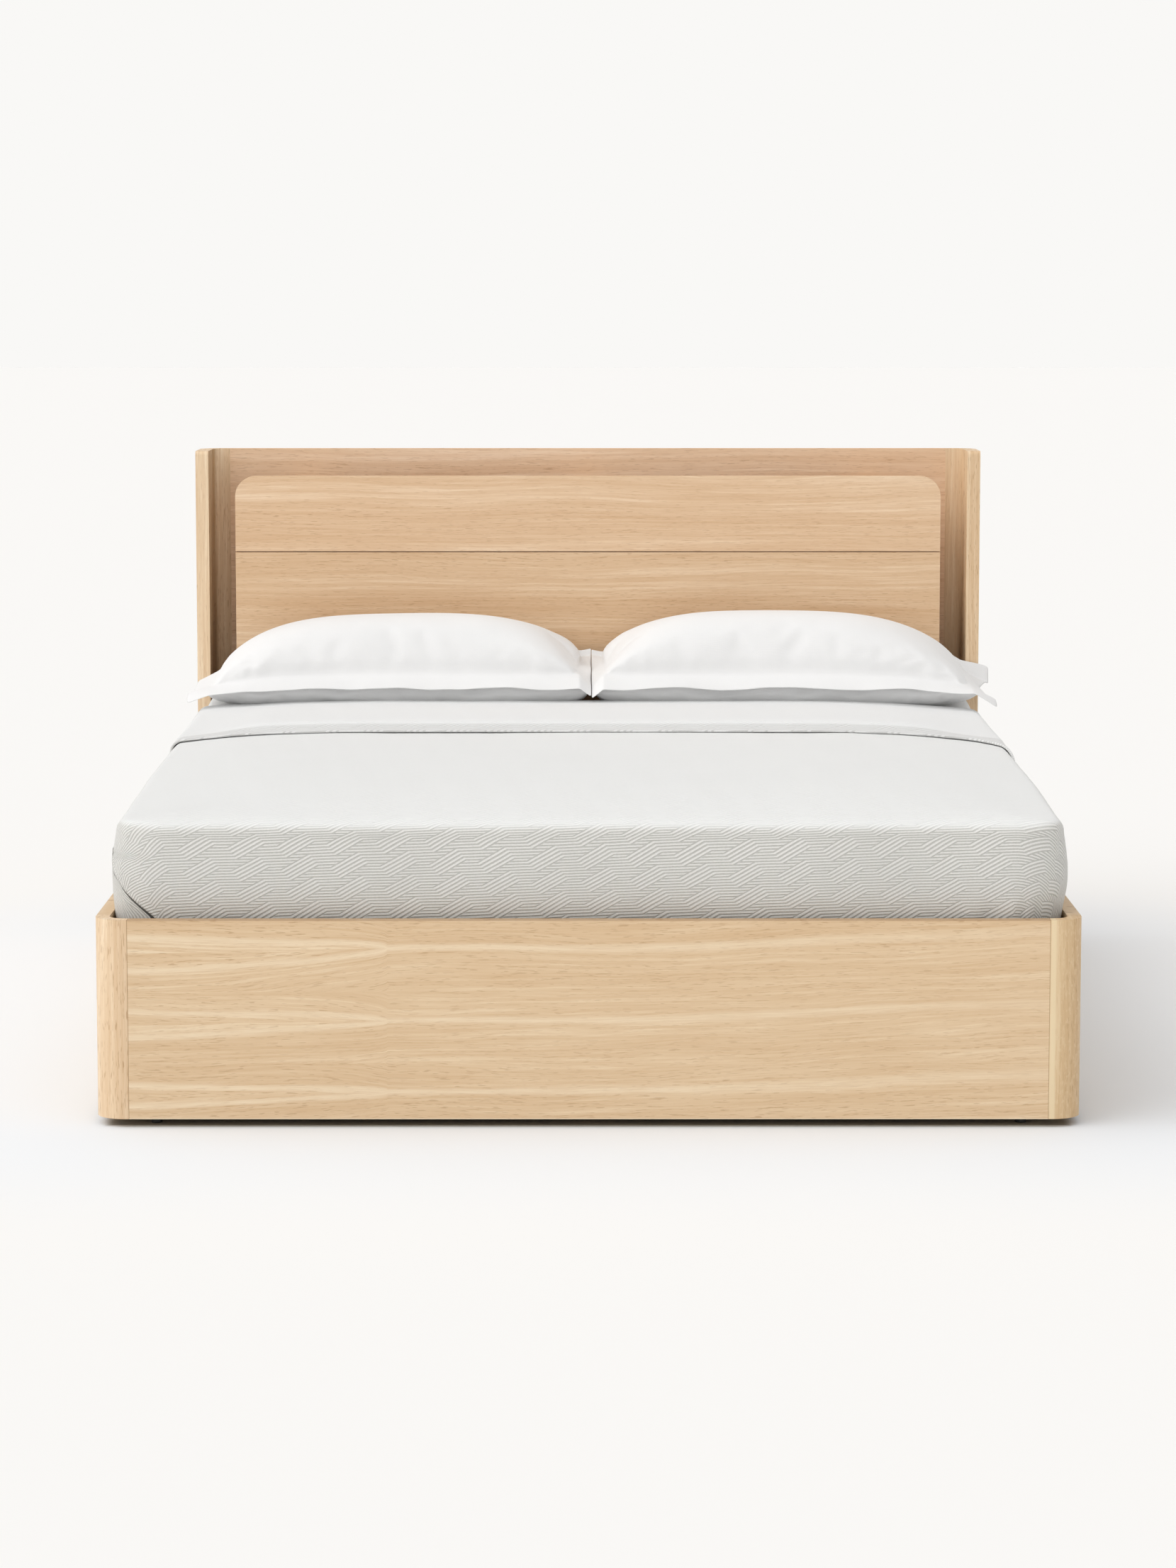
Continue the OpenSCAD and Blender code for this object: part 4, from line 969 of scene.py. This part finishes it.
# Frames of the cloth simulation, and the farthest that it moves a point
SIM_FRAMES = 20
SIM_CAP = 0.018
SIM_SETTINGS = {"vertex_group_mass": "hold", "pin_stiffness": 1.0, "use_pressure": True,
                "uniform_pressure_force": 2.6, "shrink_min": -0.022, "tension_stiffness": 12,
                "compression_stiffness": 12, "shear_stiffness": 4, "bending_stiffness": 0.35, "quality": 6,
                "mass": 0.25}


def spaced(count, even=0.35):
    """Places from -1 to 1, closer together near both ends."""
    t = np.linspace(-1, 1, count + 1)
    return t * even + np.sin(t * math.pi / 2) * (1 - even)


def pillow_shape(width, look):
    """Top and bottom of a flanged pillow as one closed form, centred across, on z = 0.
    Places run from -1 to 1 between the seams and on to 2 over the flange."""
    ends = np.array([1.25, 1.5, 1.75, 2])
    us = np.concatenate([-ends[::-1], spaced(72), ends])
    vs = np.concatenate([-ends[::-1], spaced(40), ends])
    body = width - FLANGE - FLANGE_INNER
    middle = -look["outer"] * (FLANGE - FLANGE_INNER) / 2
    U, V = np.meshgrid(us, vs, indexing="ij")
    ub, vb = np.clip(U, -1, 1), np.clip(V, -1, 1)
    pu, pv = np.maximum(np.abs(U) - 1, 0), np.maximum(np.abs(V) - 1, 0)
    # Each pillow has an outer end and one that meets the other pillow
    outwards = U * look["outer"] > 0
    outer_pu = np.where(outwards, pu, 0)
    outer, inner = np.maximum(ub * look["outer"], 0), np.maximum(-ub * look["outer"], 0)
    # 1 halfway between front and back, or between the ends, and 0 at the seam
    mid_v, mid_u = 1 - vb ** 2, 1 - ub ** 2
    to_back = np.maximum(vb, 0) ** 2
    rim = np.where(outwards, FLANGE * (1 + look["wing"] * smooth(vb, 0, 1)) - look["waist"] * mid_v,
                   FLANGE_INNER + DRAW_X * body / 2 * mid_v)
    x = middle + ub * body / 2 * (1 - DRAW_X * mid_v) + np.sign(U) * pu * rim
    y = vb * PILLOW_D / 2 * (1 - DRAW_Y * mid_u) + np.sign(V) * pv * FLANGE * np.where(V > 1, FLANGE_BACK, 1.0)
    seam = SEAM_FRONT + (SEAM_BACK - SEAM_FRONT) * (vb + 1) / 2
    hang = FRONT_DROP * (1 - look["narrow"] * outer ** 4 * (1 - 0.8 * outer_pu))
    seam = seam - np.where(V < -1, hang * pv ** 1.6, 0) + np.where(V > 1, BACK_RISE * pv, 0)
    seam = seam - look["droop"] * outer ** 3.5 * (1 - vb) / 2
    seam = seam - np.where(outwards, look["tip"], INNER_TIP_DROP * (1 - vb)) * pu
    seam = seam - look["outer_back"] * outer ** look["back_power"] * to_back
    # Where the pillows meet, the back of the seam is lifted, and the flange's back corner drops
    seam = seam + 0.020 * smooth(inner, 0.45, 0.75) * (1 - smooth(inner, 0.80, 1.0)) * to_back
    seam = seam - 0.022 * inner ** 4 * np.where(V > 1, pv, 0)
    seam = seam - look["sag"] * outer_pu * mid_v
    # The flange ripples softly, more at its rim and at its corners
    ripple = np.sin(x * look["ripple"][0] + look["ripple"][1]) * 0.6 + wave(x, y * 0, y * 0, 9.0, look["seed"])
    seam = seam + ripple * 0.0045 * np.minimum(pv, 1) ** 1.5
    seam = seam + np.sin(y * 34 + look["seed"]) * 0.004 * np.minimum(pu, 1) ** 1.5
    # The ends taper: the front corners more than the back ones
    front = smooth(-vb, -0.35, 0.45)
    power = np.where(outwards, look["end_power"], 3.2 + 1.8 * front)
    fall = np.where(outwards, look["end_fall"] + look["end_front"] * front, 0.55 + 0.50 * front)
    stuffed = (pu == 0) & (pv == 0)
    full = np.where(stuffed, (1 - np.abs(ub) ** power) ** fall * (1 - np.abs(vb) ** 2.2) ** 0.5, 0)
    under = (1 - np.abs(ub) ** np.where(outwards, 5.5, 18)) ** 0.5 * (1 - np.abs(vb) ** 5) ** 0.5
    under = np.where(stuffed, under, 0)
    slope = 1 + look["slope"] * ub * look["outer"] - 0.018 * wave(x, y, 0 * x, 2.4, look["seed"] + 3)
    top = seam + FLANGE_HALF + (look["height"] - seam - FLANGE_HALF) * np.clip(full * slope, 0, 1.04)
    low = (seam - FLANGE_HALF) * (1 - np.minimum(1, 1.3 * under))
    # The stuffing bulges out over the seam, above and below the flange
    way_x = np.sign(ub) * smooth(np.abs(ub), 0.75, 1.0)
    way_y = np.sign(vb) * smooth(np.abs(vb), 0.5, 1.0)
    over = BULGE_TOP * np.sin(np.pi * np.clip(full / 0.6, 0, 1))
    below = BULGE_LOW * np.sin(np.pi * np.clip(under / 0.8, 0, 1))
    way_top = way_x * np.where(outwards, 0.3, 1 - 0.7 * front)
    return U, V, (x + way_top * over, x + way_x * below), (y + way_y * over, y + way_y * below), top, low


def puff_up(piece, points, free):
    """A short cloth simulation under pressure; the points that aren't free are held, and none moves far."""
    hold = piece.vertex_groups.new(name="hold")
    hold.add([int(i) for i in np.flatnonzero(~free)], 1.0, "REPLACE")
    cloth = piece.modifiers.new("cloth", "CLOTH")
    for name, value in SIM_SETTINGS.items():
        setattr(cloth.settings, name, value)
    cloth.settings.effector_weights.gravity = 0
    cloth.collision_settings.use_collision = False
    cloth.collision_settings.use_self_collision = False
    scene = bpy.context.scene
    for frame_number in range(1, SIM_FRAMES + 1):
        scene.frame_set(frame_number)
    moved = np.empty(points.size)
    shape = piece.evaluated_get(bpy.context.evaluated_depsgraph_get())
    shape.data.vertices.foreach_get("co", moved)
    piece.modifiers.clear()
    way = moved.reshape(-1, 3) - points
    far = np.linalg.norm(way, axis=1)
    way *= (SIM_CAP * np.tanh(far / SIM_CAP) / np.maximum(far, 1e-9))[:, None]
    new = points + way
    lower = slice(len(new) // 2, None)
    new[lower, 2] = np.maximum(new[lower, 2], PILLOW_SEAT)
    piece.data.vertices.foreach_set("co", new.ravel())
    piece.data.update()
    scene.frame_set(1)


def pillow(node, centre, width, look):
    U, V, x, y, top, low = pillow_shape(width, look)
    half = U.size
    upper = np.column_stack([x[0].ravel(), y[0].ravel(), top.ravel()])
    lower = np.column_stack([x[1].ravel(), y[1].ravel(), low.ravel()])
    points = np.concatenate([upper, lower]) + np.array([centre, PILLOW_Y, PILLOW_SEAT])
    number = np.arange(half).reshape(U.shape)
    faces = grid_faces(number) + grid_faces((number + half)[:, ::-1])
    ring = np.concatenate([number[:-1, 0], number[-1, :-1], number[:0:-1, -1], number[0, :0:-1]])
    faces += [[int(p), int(p + half), int(q + half), int(q)] for p, q in zip(ring, np.roll(ring, -1))]
    piece = mesh_piece(node + "_cushion", points, faces, PILLOW_WHITE)
    inside = (np.abs(U) < 0.985) & (np.abs(V) < 0.985)
    puff_up(piece, points, np.concatenate([inside.ravel(), (inside & (low > 0.004)).ravel()]))
    finer = piece.modifiers.new("subsurf", "SUBSURF")
    finer.levels = finer.render_levels = 1
    baked(piece)
    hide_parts(node)
    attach(piece, "platform")


# Outer end (-1 left, 1 right), heights and slopes of the body, drops of the flange's parts, and how the end tapers
LEFT_LOOK = {"outer": -1, "height": 0.174, "slope": -0.03, "tip": 0.010, "droop": 0.026, "narrow": 0.45,
             "waist": 0.003, "sag": 0.014, "wing": -0.28, "outer_back": 0.076, "back_power": 1.0,
             "end_power": 3.6, "end_fall": 0.96, "end_front": 0.0, "ripple": (31.0, 0.4), "seed": 21}
RIGHT_LOOK = {"outer": 1, "height": 0.181, "slope": -0.05, "tip": 0.020, "droop": 0.028, "narrow": 0.75,
              "waist": 0.014, "sag": 0.016, "wing": 0.26, "outer_back": 0.041, "back_power": 8.0,
              "end_power": 3.3, "end_fall": 0.95, "end_front": 0.35, "ripple": (27.0, 1.9), "seed": 47}
pillow("pillow_left", -0.4175, 0.8490, LEFT_LOOK)
pillow("pillow_right", 0.43325, 0.8515, RIGHT_LOOK)
